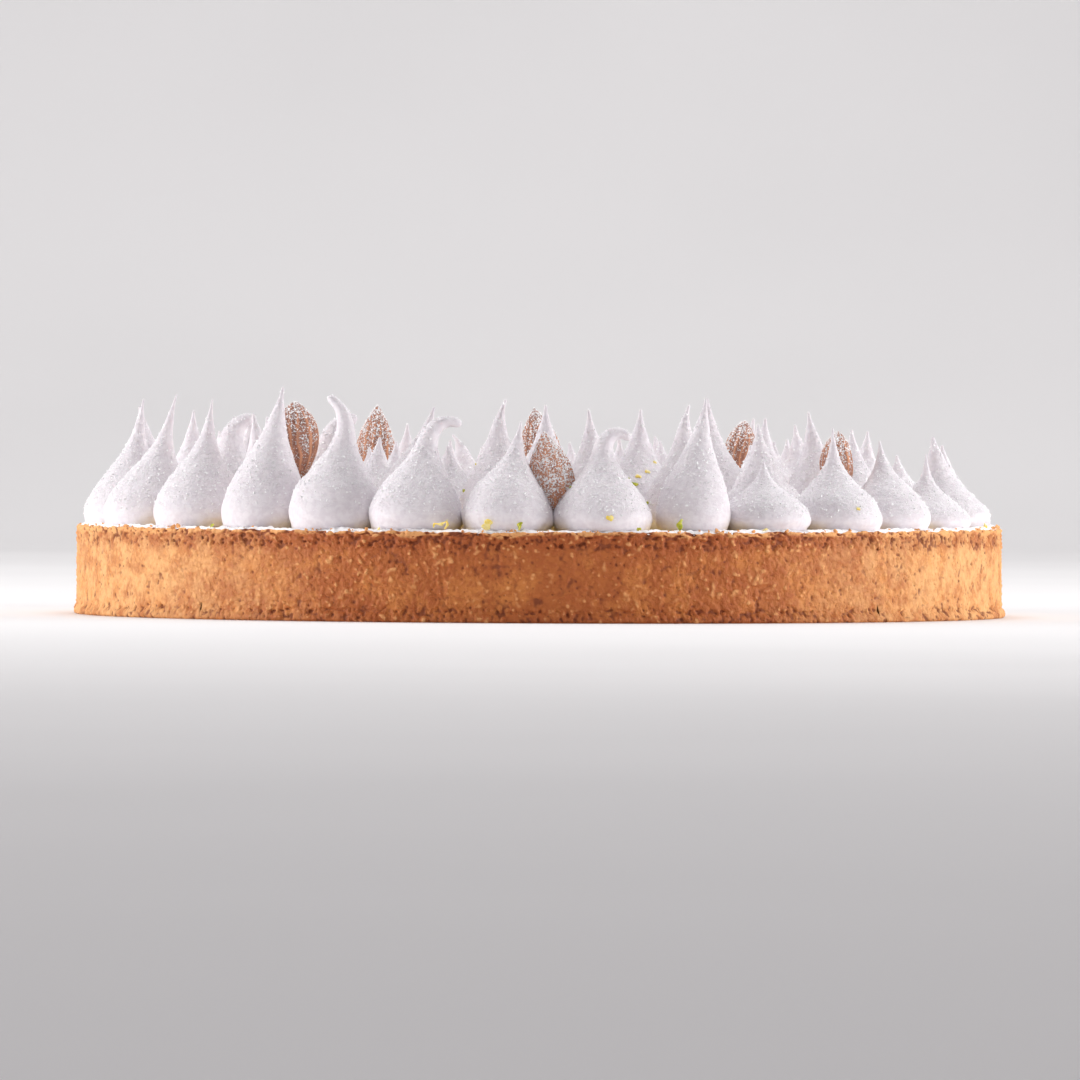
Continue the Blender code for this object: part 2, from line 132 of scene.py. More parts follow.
def closed_faces(count, sides):
    """Faces for a grid of that many rings and sides, followed by two single points: four-sided ones
    from each ring to the next, and triangles that close the first ring to the first of the two
    points and the last ring to the second."""
    this = np.arange(sides)
    after = np.roll(this, -1)
    start = np.arange(count - 1)[:, None] * sides
    quads = np.stack([start + this, start + after, start + sides + after, start + sides + this], -1)
    last = (count - 1) * sides
    foot = np.column_stack([after, this, np.full(sides, count * sides)])
    top = np.column_stack([last + this, last + after, np.full(sides, count * sides + 1)])
    return quads.reshape(-1, 4), np.vstack([foot, top])


def with_ends(rings, ends=None):
    """The points of a grid, followed by the two points that close it: the given ends, or else the
    middles of its first and last ring."""
    return np.vstack([rings.reshape(-1, 3), rings[[0, -1]].mean(axis=1) if ends is None else ends])


def closed_surface(name, rings, finish, ends=None):
    """A closed mesh through a grid of points and its two ends."""
    return mesh_object(name, with_ends(rings, ends), closed_faces(*rings.shape[:2]), finish)


def mesh_object(name, points, face_sets, finish):
    """A smooth-shaded object from an array of points and one array for each kind of face."""
    corners = np.concatenate([faces.ravel() for faces in face_sets])
    sides = np.concatenate([np.full(len(faces), faces.shape[1]) for faces in face_sets])
    mesh = bpy.data.meshes.new(name)
    mesh.vertices.add(len(points))
    mesh.vertices.foreach_set("co", np.ascontiguousarray(points, dtype=np.float32).ravel())
    mesh.loops.add(len(corners))
    mesh.loops.foreach_set("vertex_index", corners.astype(np.int32))
    mesh.polygons.add(len(sides))
    mesh.polygons.foreach_set("loop_start", (np.cumsum(sides) - sides).astype(np.int32))
    mesh.update(calc_edges=True)
    mesh.validate()
    mesh.shade_smooth()
    mesh.materials.append(finish)
    made = bpy.data.objects.new(name, mesh)
    bpy.context.scene.collection.objects.link(made)
    return made


class Nodes:
    """Adds nodes to a tree. Numbers, colours and other nodes' outputs go in, and outputs come out."""

    def __init__(self, tree):
        """tree is a material's or a group's, and where is its Object coordinates."""
        self.tree = tree
        self.where = self.add("ShaderNodeTexCoord").outputs["Object"]

    def add(self, kind, settings=(), **inputs):
        """A node with those properties and inputs."""
        made = self.tree.nodes.new(kind)
        for key, value in dict(settings).items():
            setattr(made, key, value)
        self.fill(made, **inputs)
        return made

    def fill(self, made, **inputs):
        """Sets a node's inputs, by socket name with _ for a space, or by i and the socket's number.
        Another node's output is linked."""
        for key, value in inputs.items():
            numbered = key[0] == "i" and key[1:].isdigit()
            socket = made.inputs[int(key[1:]) if numbered else key.replace("_", " ")]
            if isinstance(value, bpy.types.NodeSocket):
                self.tree.links.new(value, socket)
            else:
                socket.default_value = value

    def maths(self, operation, *values, clamp=False):
        """A Math node's output, clamped from 0 to 1 if asked."""
        settings = {"operation": operation, "use_clamp": clamp}
        inputs = {f"i{number}": value for number, value in enumerate(values)}
        return self.add("ShaderNodeMath", settings, **inputs).outputs[0]

    def times(self, first, second):
        """first times second, clamped from 0 to 1."""
        return self.maths("MULTIPLY", first, second, clamp=True)

    def less(self, first, second):
        """first less second, clamped from 0 to 1."""
        return self.maths("SUBTRACT", first, second, clamp=True)

    def span(self, value, low, high):
        """0 to 1 as value goes smoothly from low to high. low may be above high."""
        settings = {"interpolation_type": "SMOOTHSTEP"}
        made = self.add("ShaderNodeMapRange", settings, Value=value, From_Min=low, From_Max=high)
        return made.outputs["Result"]

    def level(self, value, low, high, start=0.0, end=1.0):
        """low to high in step with value from start to end."""
        inputs = {"Value": value, "From_Min": start, "From_Max": end, "To_Min": low, "To_Max": high}
        return self.add("ShaderNodeMapRange", **inputs).outputs["Result"]

    def blend(self, factor, first, second):
        """A colour between first and second by factor."""
        made = self.add("ShaderNodeMix", {"data_type": "RGBA"}, i0=factor, i6=first, i7=second)
        return made.outputs[2]

    def speckle(self, scale, detail=2.0, roughness=0.5, where=None):
        """A noise texture's value, with scale in features to the metre."""
        inputs = {"Vector": where or self.where, "Scale": scale, "Detail": detail, "Roughness": roughness}
        return self.add("ShaderNodeTexNoise", **inputs).outputs["Fac"]

    def attribute(self, name):
        """The mesh's own values of that name."""
        return self.add("ShaderNodeAttribute", {"attribute_name": name}).outputs["Fac"]

    def sugared(self, colour, cover, grain):
        """The colour under clots of icing sugar, and the height of the clots."""
        made = self.add("ShaderNodeGroup", {"node_tree": SUGAR}, Cover=cover, Grain=grain)
        return self.blend(made.outputs["Mask"], colour, SUGAR_WHITE), made.outputs["Height"]


class Finish(Nodes):
    """A material: the nodes of its tree, which lead to its Principled shader."""

    def __init__(self, name, **inputs):
        """inputs are the shader's."""
        self.material = bpy.data.materials.new(name)
        self.material.use_nodes = True
        super().__init__(self.material.node_tree)
        self.shader = self.tree.nodes["Principled BSDF"]
        self.fill(self.shader, **inputs)

    def painted(self, colour, height=None, distance=0.0, strength=1.0):
        """The material in that colour, with a bump by height in shares of distance in metres."""
        self.fill(self.shader, Base_Color=colour)
        if height is not None:
            bump = self.add("ShaderNodeBump", Strength=strength, Distance=distance, Height=height)
            self.fill(self.shader, Normal=bump.outputs["Normal"])
        return self.material


def sugar_group():
    """Node group for icing sugar, which lies in clots: a fine noise stands above a level set by
    Cover, from 0 for bare to 1 for white all over. Grain is in features to the metre."""
    group = bpy.data.node_groups.new("icing_sugar", "ShaderNodeTree")
    for name, way in (("Cover", "INPUT"), ("Grain", "INPUT"), ("Mask", "OUTPUT"), ("Height", "OUTPUT")):
        group.interface.new_socket(name, in_out=way, socket_type="NodeSocketFloat")
    made = Nodes(group)
    given = made.add("NodeGroupInput")
    clots = made.speckle(given.outputs["Grain"], 3.0, 0.65)
    floor = made.level(made.span(given.outputs["Cover"], 0.0, 1.0), 0.74, 0.22)
    mask = made.span(made.maths("SUBTRACT", clots, floor), 0.0, 0.09)
    made.add("NodeGroupOutput", Mask=mask, Height=made.times(mask, clots))
    return group


SUGAR = sugar_group()
SUGAR_WHITE = (0.96, 0.945, 0.955, 1.0)

# Painted side light: the paler gold that the wall takes to the left and right of the middle.
SIDE_LIGHT_GOLD = (0.90, 0.49, 0.200, 1.0)
GOLDEN = (0.74, 0.28, 0.066, 1.0)
TOASTED = (0.48, 0.135, 0.030, 1.0)
DARK_TOASTED = (0.40, 0.090, 0.020, 1.0)
# Painted highlight on raised crumbs and along the top edge of the wall.
HIGHLIGHT_GOLD = (0.90, 0.45, 0.170, 1.0)
# Painted shade in the pits and the hollows between crumbs.
PIT_SHADE = (0.20, 0.044, 0.014, 1.0)
# Where the painted side light on the wall begins and where it is full.
SIDE_LIGHT_START, SIDE_LIGHT_END = 45 * MM, 112 * MM  # to the left and right of the middle
# Painted shade: the wall turns browner between these distances towards the near side.
NEAR_SHADE_START, NEAR_SHADE_END = -60 * MM, -118 * MM  # towards the near side


def baked_pastry():
    """Golden shortcrust with browned patches and brown bands under the rim and at the foot. It is paler at
    the two sides, mostly painted side light and partly paler baking, and browner towards the near side,
    which is painted shade; a painted highlight runs along the top edge. The mesh's own attributes give
    painted shade in its pits and hollows, a painted highlight on its raised crumbs, and say where icing
    sugar lies."""
    made = Finish("baked_pastry", Roughness=0.62, Specular_IOR_Level=0.35)
    at = made.add("ShaderNodeSeparateXYZ", Vector=made.where).outputs
    lifted = made.maths("MULTIPLY_ADD", made.speckle(110.0, 4.0), 5 * MM, at["Z"])
    # Painted shade: browner towards the near side, added to the random browned patches.
    near_shade = made.span(at["Y"], NEAR_SHADE_START, NEAR_SHADE_END)
    patches = made.span(made.speckle(95.0, 6.0, 0.65), 0.38, 0.60)
    browning_and_shade = made.maths("ADD", made.times(patches, 0.75), made.times(near_shade, 0.50), clamp=True)
    colour = made.blend(browning_and_shade, GOLDEN, TOASTED)
    mottle = made.span(made.speckle(170.0, 4.0, 0.6), 0.40, 0.64)
    # Painted side light: paler to the left and right of the middle, mostly painted light and partly paler
    # baking, broken up by mottling.
    pale = made.times(made.span(made.maths("ABSOLUTE", at["X"]), SIDE_LIGHT_START, SIDE_LIGHT_END), 0.95)
    pale = made.times(pale, made.less(1.0, made.times(mottle, 0.6)))
    colour = made.blend(pale, colour, SIDE_LIGHT_GOLD)
    sand = made.span(made.speckle(620.0, 3.0, 0.65), 0.38, 0.66)
    shade = made.less(0.55, made.times(pale, 0.40))
    colour = made.blend(made.times(sand, shade), colour, DARK_TOASTED)
    rim = made.span(lifted, CASE_HEIGHT - DARK_RIM + 1.0 * MM, CASE_HEIGHT - 0.5 * MM)
    foot = made.span(lifted, DARK_FOOT + 2.5 * MM, 2.0 * MM)
    band = made.maths("MAXIMUM", made.times(rim, 0.68), made.times(foot, 0.45))
    band = made.times(band, made.less(1.0, made.times(pale, 0.8)))
    colour = made.blend(band, colour, DARK_TOASTED)
    relief = made.attribute("relief")
    # Painted highlight: raised crumbs and the top edge are lighter gold.
    crumb_highlight = made.times(made.span(relief, 0.58, 0.95), 0.7)
    edge = made.span(lifted, CASE_HEIGHT + 0.5 * MM, CASE_HEIGHT + 1.4 * MM)
    edge = made.times(edge, made.times(made.span(relief, 0.1, 0.45), 0.85))
    colour = made.blend(made.maths("MAXIMUM", crumb_highlight, edge), colour, HIGHLIGHT_GOLD)
    # Painted shade: pits and the hollows between crumbs are darker.
    colour = made.blend(made.times(made.span(relief, 0.34, 0.04), 0.80), colour, PIT_SHADE)
    colour, clots = made.sugared(colour, made.attribute("sugar"), 1500.0)
    return made.painted(colour, made.maths("ADD", sand, clots), 0.20 * MM)


def crumbed(points, height):
    """How far the crumb stands out from the smooth wall, and the same as a share from 0 to 1.

    The wall swells slowly and is sandy all over, with small specks that stand out and pores as small
    as they are. Round crumbs about a millimetre wide stand out most in the bands along the rim and
    the foot. Pits of two sizes are many in those bands, few between them and few on the lip at the
    very top, and flat cracks lie in the bands alone."""
    rim = ease(height, CASE_HEIGHT - DARK_RIM, CASE_HEIGHT - 0.6 * DARK_RIM)
    foot = ease(-height, -DARK_FOOT, -0.5 * DARK_FOOT)
    patchy = ease(lumps(points, 15 * MM, 11), 0.0, 0.7)
    lip = ease(height, CASE_HEIGHT - 1.9 * MM, CASE_HEIGHT - 1.2 * MM)
    short = np.clip(0.04 + 0.22 * patchy + 0.96 * rim * (1 - 0.6 * lip) + 0.75 * foot, 0, 1)
    large = hollows(points, 2.3 * MM, 0.9 * MM, 21) * short * ease(lumps(points, 4 * MM, 5), -0.5, 0.2)
    small = hollows(points, 1.2 * MM, 0.55 * MM, 31) * short
    flat = points * [1.0, 1.0, 3.2]
    crack = ease(hollows(flat, 4.2 * MM, 2.0 * MM, 41) + 0.5 * lumps(points, 1.1 * MM, 42), 0.45, 0.9)
    crack *= np.clip(0.8 * rim + foot, 0, 1)
    crumb = hollows(points, 1.5 * MM, 1.1 * MM, 3) - 0.42
    sand = 0.40 * lumps(points, 1.0 * MM, 4) + 0.35 * lumps(points, 2.6 * MM, 6)
    pit = np.clip(large + 0.8 * small + 0.9 * crack, 0, 1)
    crumb = crumb * np.clip(0.35 + short + lip, 0, 1)
    speck = hollows(points, 1.7 * MM, 0.65 * MM, 7) - 0.9 * hollows(points, 1.5 * MM, 0.5 * MM, 8)
    push = CRUMB_HEIGHT * (crumb + sand * (0.7 + 0.4 * short)) + SPECK_HEIGHT * speck - PIT_DEPTH * pit
    push += 0.28 * MM * lumps(points, 24 * MM, 1) + 0.22 * MM * lumps(points, 7 * MM, 2)
    # The share is what the pastry finish turns into painted shade in pits and painted highlight on raised
    # crumbs.
    return push, np.clip(0.5 + 0.62 * (crumb + sand) + 0.42 * speck - 0.6 * pit, 0, 1)


def around_tart(radius, turn, height):
    """Points at those distances from the middle, angles from the near side, and heights."""
    return np.stack([radius * np.sin(turn), -radius * np.cos(turn), height + 0 * turn], axis=-1)


def wall_section():
    """One upright section of the wall, as the offset from CASE_RADIUS and the height of each point:
    up the inside, over the rim, down the outside, round the foot and in along the underside. Then
    how fully the crumb shows at each point."""
    rows = np.linspace(0, 1, WALL_ROWS)
    foot = [[-0.6, 0.0], [0.5, 0.0], [0.95, 0.45], [0.95, 1.1], [0.6, 1.75], [0.22, 2.25]]
    outside = np.column_stack([0 * rows, FOOT_HEIGHT + (CASE_HEIGHT - 0.45 * MM - FOOT_HEIGHT) * rows])
    rim = [[-0.08, -0.2], [-0.3, -0.03], [-0.6, 0], [-1, 0], [-1.5, 0], [-2.1, 0], [-2.8, -0.05]]
    rim = np.array(rim) * MM + [0, CASE_HEIGHT]
    inside = [[-3.7 * MM, CASE_HEIGHT - 0.2 * MM], [-WALL_THICKNESS, CASE_HEIGHT - 1.2 * MM]]
    below = [[-WALL_THICKNESS, 12 * MM], [-WALL_THICKNESS, 0.0]]
    section = np.vstack([np.array(foot) * MM, outside, rim, inside, below])[::-1]
    facing = np.concatenate([[0, 0.4, 0.8, 1, 1, 1], np.ones(WALL_ROWS), [0.9, 0.5], np.zeros(9)])[::-1]
    return section[:, 0], section[:, 1], facing


def rim_sag(turn):
    """How far the rim lies below CASE_HEIGHT at an angle: a cosine, largest at the near and far side."""
    return RIM_SAG * 0.5 * (1 + np.cos(2 * turn))


def wall_arc(number, finish):
    """A quarter of the wall: the section carried round the tart. The crumb pushes each point in
    or out, and the rim is broken down by rough noise."""
    offset, rise, facing = wall_section()
    step = 2 * math.pi / WALL_ARCS
    turn = ((number + np.linspace(0, 1, ARC_COLUMNS + 1)) * step - 0.25 * math.pi)[:, None]
    points = around_tart(CASE_RADIUS + offset, turn, rise)
    push, relief = crumbed(points, points[..., 2])
    radius = np.minimum(CASE_RADIUS + offset + push * facing, FOOT_RADIUS)
    up = ease(rise, CASE_HEIGHT - 2.2 * MM, CASE_HEIGHT - 0.1 * MM)
    broken = 0.45 + 0.3 * lumps(points, 5 * MM, 51) + 0.55 * lumps(points, 1.6 * MM, 52)
    broken += 0.3 * lumps(points, 0.8 * MM, 53)
    height = rise - up * (rim_sag(turn) + BROKEN_RIM * np.clip(broken, 0, 1.5))
    points = around_tart(radius, turn, height)
    ends = around_tart(CASE_RADIUS - 0.5 * WALL_THICKNESS, turn[[0, -1], 0], 0.5 * CASE_HEIGHT)
    made = closed_surface(f"baked_wall_{number + 1}", points, finish, ends)
    crease_ends(made, len(rise))
    ragged = lumps(points, 1.9 * MM, 61) + 0.6 * lumps(points, 0.8 * MM, 62)
    on_top = ease(-offset, 0.15 * MM, 0.9 * MM) * (rise > 0.5 * CASE_HEIGHT)
    # The relief share, from which the pastry finish paints highlight on raised crumbs and shade in pits.
    keep_values(made, "relief", np.where(facing > 0.3, relief, 0.5))
    keep_values(made, "sugar", np.clip(on_top * (0.75 + 0.5 * ragged), 0, 1))
    return made


def crease_ends(made, sides):
    """Marks the edges of a closed surface's first and last ring as sharp, so that the shading of its
    sides runs on to the ends."""
    mesh = made.data
    pairs = np.empty(2 * len(mesh.edges), dtype=np.int32)
    mesh.edges.foreach_get("vertices", pairs)
    pairs = pairs.reshape(-1, 2)
    last = len(mesh.vertices) - 2 - sides
    in_last = (pairs >= last) & (pairs < last + sides)
    sharp = (pairs < sides).all(axis=1) | in_last.all(axis=1)
    layer = mesh.attributes.get("sharp_edge") or mesh.attributes.new("sharp_edge", "BOOLEAN", "EDGE")
    layer.data.foreach_set("value", sharp)


def keep_values(made, name, values):
    """Writes a value for each point of a mesh as an attribute; its end points, for which there are
    no values, get the mean."""
    kept = np.full(len(made.data.vertices), values.mean(), dtype=np.float32)
    kept[: values.size] = values.ravel()
    layer = made.data.attributes.new(name, "FLOAT", "POINT")
    layer.data.foreach_set("value", kept)


def base_disc(finish):
    """The disc of dough under the cream: rings from the middle of its underside, out to the wall and
    back to the middle of its upper side."""
    radius = CASE_RADIUS - WALL_THICKNESS * np.array([9, 1.1, 0.9, 0.9, 1.1, 9])[:, None]
    height = np.array([0, 0, 0.4 * MM, FLOOR_THICKNESS - 0.4 * MM, FLOOR_THICKNESS, FLOOR_THICKNESS])
    points = around_tart(radius, full_turn(160), height[:, None])
    made = closed_surface("baked_base", points, finish)
    keep_values(made, "relief", np.full(1, 0.5))
    return made


pastry = baked_pastry()
case = [wall_arc(number, pastry) for number in range(WALL_ARCS)] + [base_disc(pastry)]
for piece in case:
    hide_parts("pastry_case")
    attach(piece, "root")


# The icing sugar on the rim: sifted over the whole tart at the end, it lies in a soft ragged ridge
# along the top of the wall, in front of the kisses. Brown crumbs from the edge lie on it.

SUGAR_RIDGE = 0.80 * MM
SUGAR_WIDTH = 4.2 * MM
SUGAR_SETBACK = 0.7 * MM  # from the wall's outer face
SUGAR_GRID = (15, 2600)


def ridge_of_sugar():
    """Rings from the inside of the ridge over its top to the outside and back underneath. The ridge
    is as high as clotted noise makes it, and its outer edge wanders along the wall's top."""
    across = np.linspace(0, 1, SUGAR_GRID[0])[:, None]
    turn = full_turn(SUGAR_GRID[1])
    radius = CASE_RADIUS - SUGAR_SETBACK - SUGAR_WIDTH * (1 - across)
    flat = around_tart(radius, turn, 0 * radius)
    wander = 0.40 * MM * lumps(flat, 1.7 * MM, 81) + 0.22 * MM * lumps(flat, 0.7 * MM, 82)
    radius = radius + (wander - 0.1 * MM) * across
    clots = 0.5 + 0.30 * lumps(flat, 3.5 * MM, 83) + 0.4 * lumps(flat, 1.2 * MM, 84)
    clots += 0.3 * lumps(flat, 0.55 * MM, 85)
    dome = np.clip(4 * across * (1 - across), 0, 1) ** 0.5
    heap = dome * (0.3 * MM + SUGAR_RIDGE * np.clip(clots, 0, 1.4))
    over = around_tart(radius, turn, CASE_HEIGHT - rim_sag(turn) - 0.45 * MM + heap)
    return np.concatenate([over, over[[-1, 0]] - [0, 0, 0.5 * MM]])


def ring_surface(name, rings, finish):
    """A closed mesh through rings that come back to the first one, like a tyre."""
    count, sides = rings.shape[:2]
    number = np.arange(count * sides).reshape(count, sides)
    ahead, above = np.roll(number, -1, axis=1), np.roll(number, -1, axis=0)
    beyond = np.roll(ahead, -1, axis=0)
    quads = np.stack([number, above, beyond, ahead], axis=-1).reshape(-1, 4)
    return mesh_object(name, rings.reshape(-1, 3), [quads], finish)


def sifted_sugar():
    """Dry white icing sugar, with painted shade between its clots, where it is slightly grey."""
    made = Finish("sifted_sugar", Roughness=0.9)
    clots = made.speckle(1300.0, 4.0, 0.7)
    # Painted shade: the sugar is greyer where its clots are low.
    colour = made.blend(made.span(clots, 0.3, 0.55), (0.94, 0.90, 0.91, 1), (0.99, 0.975, 0.98, 1))
    return made.painted(colour, clots, 0.3 * MM, 0.9)


ridge = ring_surface("rim_sugar", ridge_of_sugar(), sifted_sugar())
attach(ridge, "root")

CRUMB_SHAPE = np.array(
    [[-1, -1, -1], [1, -1, -1], [1, 1, -1], [-1, 1, -1], [-1, -1, 1], [1, -1, 1], [1, 1, 1], [-1, 1, 1]]
)
CRUMB_FACES = np.array([[3, 2, 1, 0], [4, 5, 6, 7], [0, 1, 5, 4], [1, 2, 6, 5], [2, 3, 7, 6], [3, 0, 4, 7]])
GRAIN_SHAPE = np.array([[1, 1, 1], [1, -1, -1], [-1, 1, -1], [-1, -1, 1]])
GRAIN_FACES = np.array([[0, 1, 2], [0, 3, 1], [0, 2, 3], [1, 3, 2]])


def random_turns(rng, count):
    """Rotation matrices spread evenly over all turns, from unit quaternions."""
    drawn = rng.normal(size=(4, count))
    w, x, y, z = drawn / np.linalg.norm(drawn, axis=0)
    rows = [
        [1 - 2 * (y * y + z * z), 2 * (x * y - z * w), 2 * (x * z + y * w)],
        [2 * (x * y + z * w), 1 - 2 * (x * x + z * z), 2 * (y * z - x * w)],
        [2 * (x * z - y * w), 2 * (y * z + x * w), 1 - 2 * (x * x + y * y)],
    ]
    return np.moveaxis(np.array(rows), -1, 0)


def scattered(name, shape, faces, places, sizes, rng, finish):
    """One mesh of many small bodies: the shape's corners are jogged at random, stretched by each
    body's three sizes, turned at random and set down at its place."""
    count = len(places)
    bodies = shape[None] * (0.5 + rng.uniform(-0.16, 0.16, (count, len(shape), 1)))
    bodies = np.einsum("nij,nkj->nki", random_turns(rng, count), bodies * sizes[:, None])
    points = (bodies + places[:, None]).reshape(-1, 3)
    corners = faces[None] + len(shape) * np.arange(count)[:, None, None]
    made = mesh_object(name, points, [corners.reshape(-1, faces.shape[1])], finish)
    made.data.shade_flat()
    return made


RIM_CRUMBS = 260
rng = np.random.default_rng(5)
turn = rng.uniform(0, 2 * math.pi, RIM_CRUMBS)
from_edge = rng.triangular(0.2, 0.6, 3.6, RIM_CRUMBS) * MM
size = rng.uniform(0.35, 0.9, (RIM_CRUMBS, 1)) ** 1.6 * MM
lift = CASE_HEIGHT - rim_sag(turn) + rng.uniform(-0.35, 0.25, RIM_CRUMBS) * MM
places = around_tart(CASE_RADIUS - from_edge, turn, lift)
sizes = size * rng.uniform(0.7, 1.3, (RIM_CRUMBS, 3))
crumbs = scattered("rim_crumbs", CRUMB_SHAPE, CRUMB_FACES, places, sizes, rng, pastry)
# The crumbs get a raised crumb's relief, so the pastry finish gives them its painted highlight.
keep_values(crumbs, "relief", np.full(1, 0.95))
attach(crumbs, "root")


# The lemon cream: poured hot into the baked case, where it sets with a smooth, softly shining skin.
# It shows only from above, in the gaps between the kisses.


def set_cream():
    """Opaque yellow cream with faint swirls from the spatula."""
    made = Finish("set_lemon_cream", Roughness=0.3, Subsurface_Weight=0.15, Subsurface_Scale=2 * MM)
    swirl = made.speckle(55.0, 3.0)
    colour = made.blend(made.span(swirl, 0.35, 0.7), (0.86, 0.60, 0.12, 1), (0.78, 0.50, 0.07, 1))
    return made.painted(colour, swirl, 0.6 * MM, 0.6)


CREAM_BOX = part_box("lemon_cream")
CREAM_DIP = 0.9 * MM  # how far the set cream has sunk next to the wall


def cream_surface(finish):
    """Rings from the middle of the underside out, up the side and back in over the top, which rises
    from its edge to the middle by a power curve and is slightly wavy."""
    across = np.array([0.5, 0.96, 1.0, 1.0, 0.99, 0.97, 0.93, 0.88, 0.8, 0.7, 0.55, 0.38, 0.2])[:, None]
    low, high = CREAM_BOX[0][2], CREAM_BOX[1][2]
    height = high - CREAM_DIP * across**6
    height[:4, 0] = [low, low, low + 0.5 * MM, high - 1.6 * MM]
    points = around_tart(CREAM_BOX[1][0] * across, full_turn(240), height)
    points[4:, :, 2] -= 0.12 * MM * (1 + lumps(points[4:], 14 * MM, 71))
    return closed_surface("set_cream", points, finish, [(0, 0, low), (0, 0, high - 0.1 * MM)])


cream = cream_surface(set_cream())
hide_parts("lemon_cream")
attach(cream, "root")


# The outer ring of kisses: Italian meringue piped from a round nozzle, a bulb drawn up to a point as
# the nozzle is pulled away. They stand on the rim and the cream, and press into their neighbours.

OUTER_RING_RADIUS = 107.0 * MM
KISS_FLOOR = CASE_HEIGHT - 0.4 * MM
KISS_BASE_LIFT = 0.65 * MM  # how far the solids stand above this floor
KISS_SHAPE = (0.45, 0.172, 1.35)  # half, softness and lean, unless a kiss has its own
UNDERCUT = 0.12
UNDERCUT_LENGTH = 0.14
TIP_RADIUS = 0.34 * MM
HOOK_RADIUS = 0.8 * MM  # the tips that bend over are blunt
HOOK_NECK = 0.65 * MM
FINE_POINT = 0.58  # how much finer a straight kiss is drawn out at its very end
USUAL_HEIGHT = 24 * MM
CURL_START = 0.62
INWARD_LEAN = 1.6 * MM
SPINE_STEPS = 96
WRINKLE_SQUEEZE = 2.4  # the skin's wrinkles are this many times wider than high
# The near half, left to right: angle, height, bulb radius, sideways shift of the tip (mm), curl,
# half, the share of the length where it is half as wide as the bulb, softness, the share over which
# it narrows, and for one the power by which it leans
NEAR_KISSES = (
    (-82.4, 32.2, 12.9, 3.4, 0.0, 0.39, 0.16),
    (-68.6, 33.4, 13.2, 6.4, 0.0, 0.36, 0.155),
    (-53.6, 32.0, 12.6, 3.0, 0.0, 0.44, 0.145),
    (-40.4, 35.1, 11.6, 4.6, 0.0, 0.47, 0.17),
    (-28.6, 32.4, 12.4, 4.0, -1.3, 0.44, 0.13),
    (-16.8, 26.4, 12.6, 4.0, 2.1, 0.41, 0.14),
    (-4.4, 26.6, 12.2, 3.4, 0.0, 0.46, 0.15),
    (8.3, 23.6, 13.4, 0.1, 2.7, 0.39, 0.145),
    (20.8, 32.6, 10.0, 3.3, 0.0, 0.48, 0.17),
    (31.6, 17.2, 12.3, -0.2, 0.0, 0.50, 0.13),
    (43.8, 25.4, 13.2, -0.5, 0.0, 0.40, 0.14),
    (55.2, 22.3, 11.9, -1.9, 0.0, 0.45, 0.15),
    (67.3, 18.8, 12.5, -0.1, 0.0, 0.38, 0.14),
    (79.4, 23.4, 12.6, -4.0, 0.0, 0.30, 0.23, 0.8),
)
# The far half, evenly spaced: height, bulb radius, shift, curl, and the first one's own shape
FAR_KISSES = (
    (21.2, 12.0, -2.4, 0.0, 0.31, 0.22, 0.8),
    (21.0, 12.0, 0.6, 0.0),
    (18.5, 12.0, -1.2, 0.0),
    (21.5, 12.0, -1.5, 0.5),
    (22.8, 12.1, -0.5, 0.0),
    (30.5, 12.0, -1.8, 0.0),
    (25.5, 12.1, 0.4, 0.0),
    (22.5, 12.0, 1.5, 0.0),
    (23.5, 12.2, -1.2, -0.7),
    (28.0, 12.0, -2.4, 0.0),
    (22.0, 12.1, 1.0, 0.0),
    (28.0, 12.0, 2.0, 0.0),
    (29.6, 12.0, 0.9, 0.0),
    (30.6, 12.0, -3.4, 0.0),
    (26.0, 12.0, 2.1, 0.0),
)
OUTER_GRID = (84, 88)


def unit(vectors):
    """The vectors with their lengths made 1."""
    return vectors / np.linalg.norm(vectors, axis=-1, keepdims=True)


def one_kiss(radius, row):
    """A kiss as a dict of its values, in metres. A row without its own shape has the usual one."""
    angle, height, bulb, shift, curl, *form = row
    turn = math.radians(angle)
    return {
        "foot": around_tart(radius, turn, KISS_FLOOR + KISS_BASE_LIFT),
        "bulb": bulb * MM,
        "height": height * MM,
        "lean": np.array([shift * MM, INWARD_LEAN * math.cos(turn)]),
        "curl": curl,
        "shape": (*form, *KISS_SHAPE[len(form) :]),
    }


def kiss_spine(kiss):
    """Points and directions along the middle of a kiss. It leans over as a power of the length, a
    curl adds a quick extra tilt at the end, and the whole is scaled to the height."""
    share = np.linspace(0.0, 1.0, SPINE_STEPS)
    turn = np.clip((share - CURL_START) / (1 - CURL_START), 0, 1) ** 1.5
    power = kiss["shape"][2]
    lean = power * np.maximum(share, 0.01) ** (power - 1)
    tilt = lean[:, None] * (kiss["lean"] / kiss["height"])
    tilt[:, 0] += turn * kiss["curl"]
    angle = np.linalg.norm(tilt, axis=1)
    side = tilt / np.maximum(angle, 1e-9)[:, None]
    ahead = np.column_stack([side * np.sin(angle)[:, None], np.cos(angle)])
    steps = 0.5 * (ahead[1:] + ahead[:-1]) / (SPINE_STEPS - 1)
    spine = np.vstack([np.zeros(3), np.cumsum(steps, axis=0)])
    spine *= kiss["height"] / spine[:, 2].max()
    return share, spine, ahead


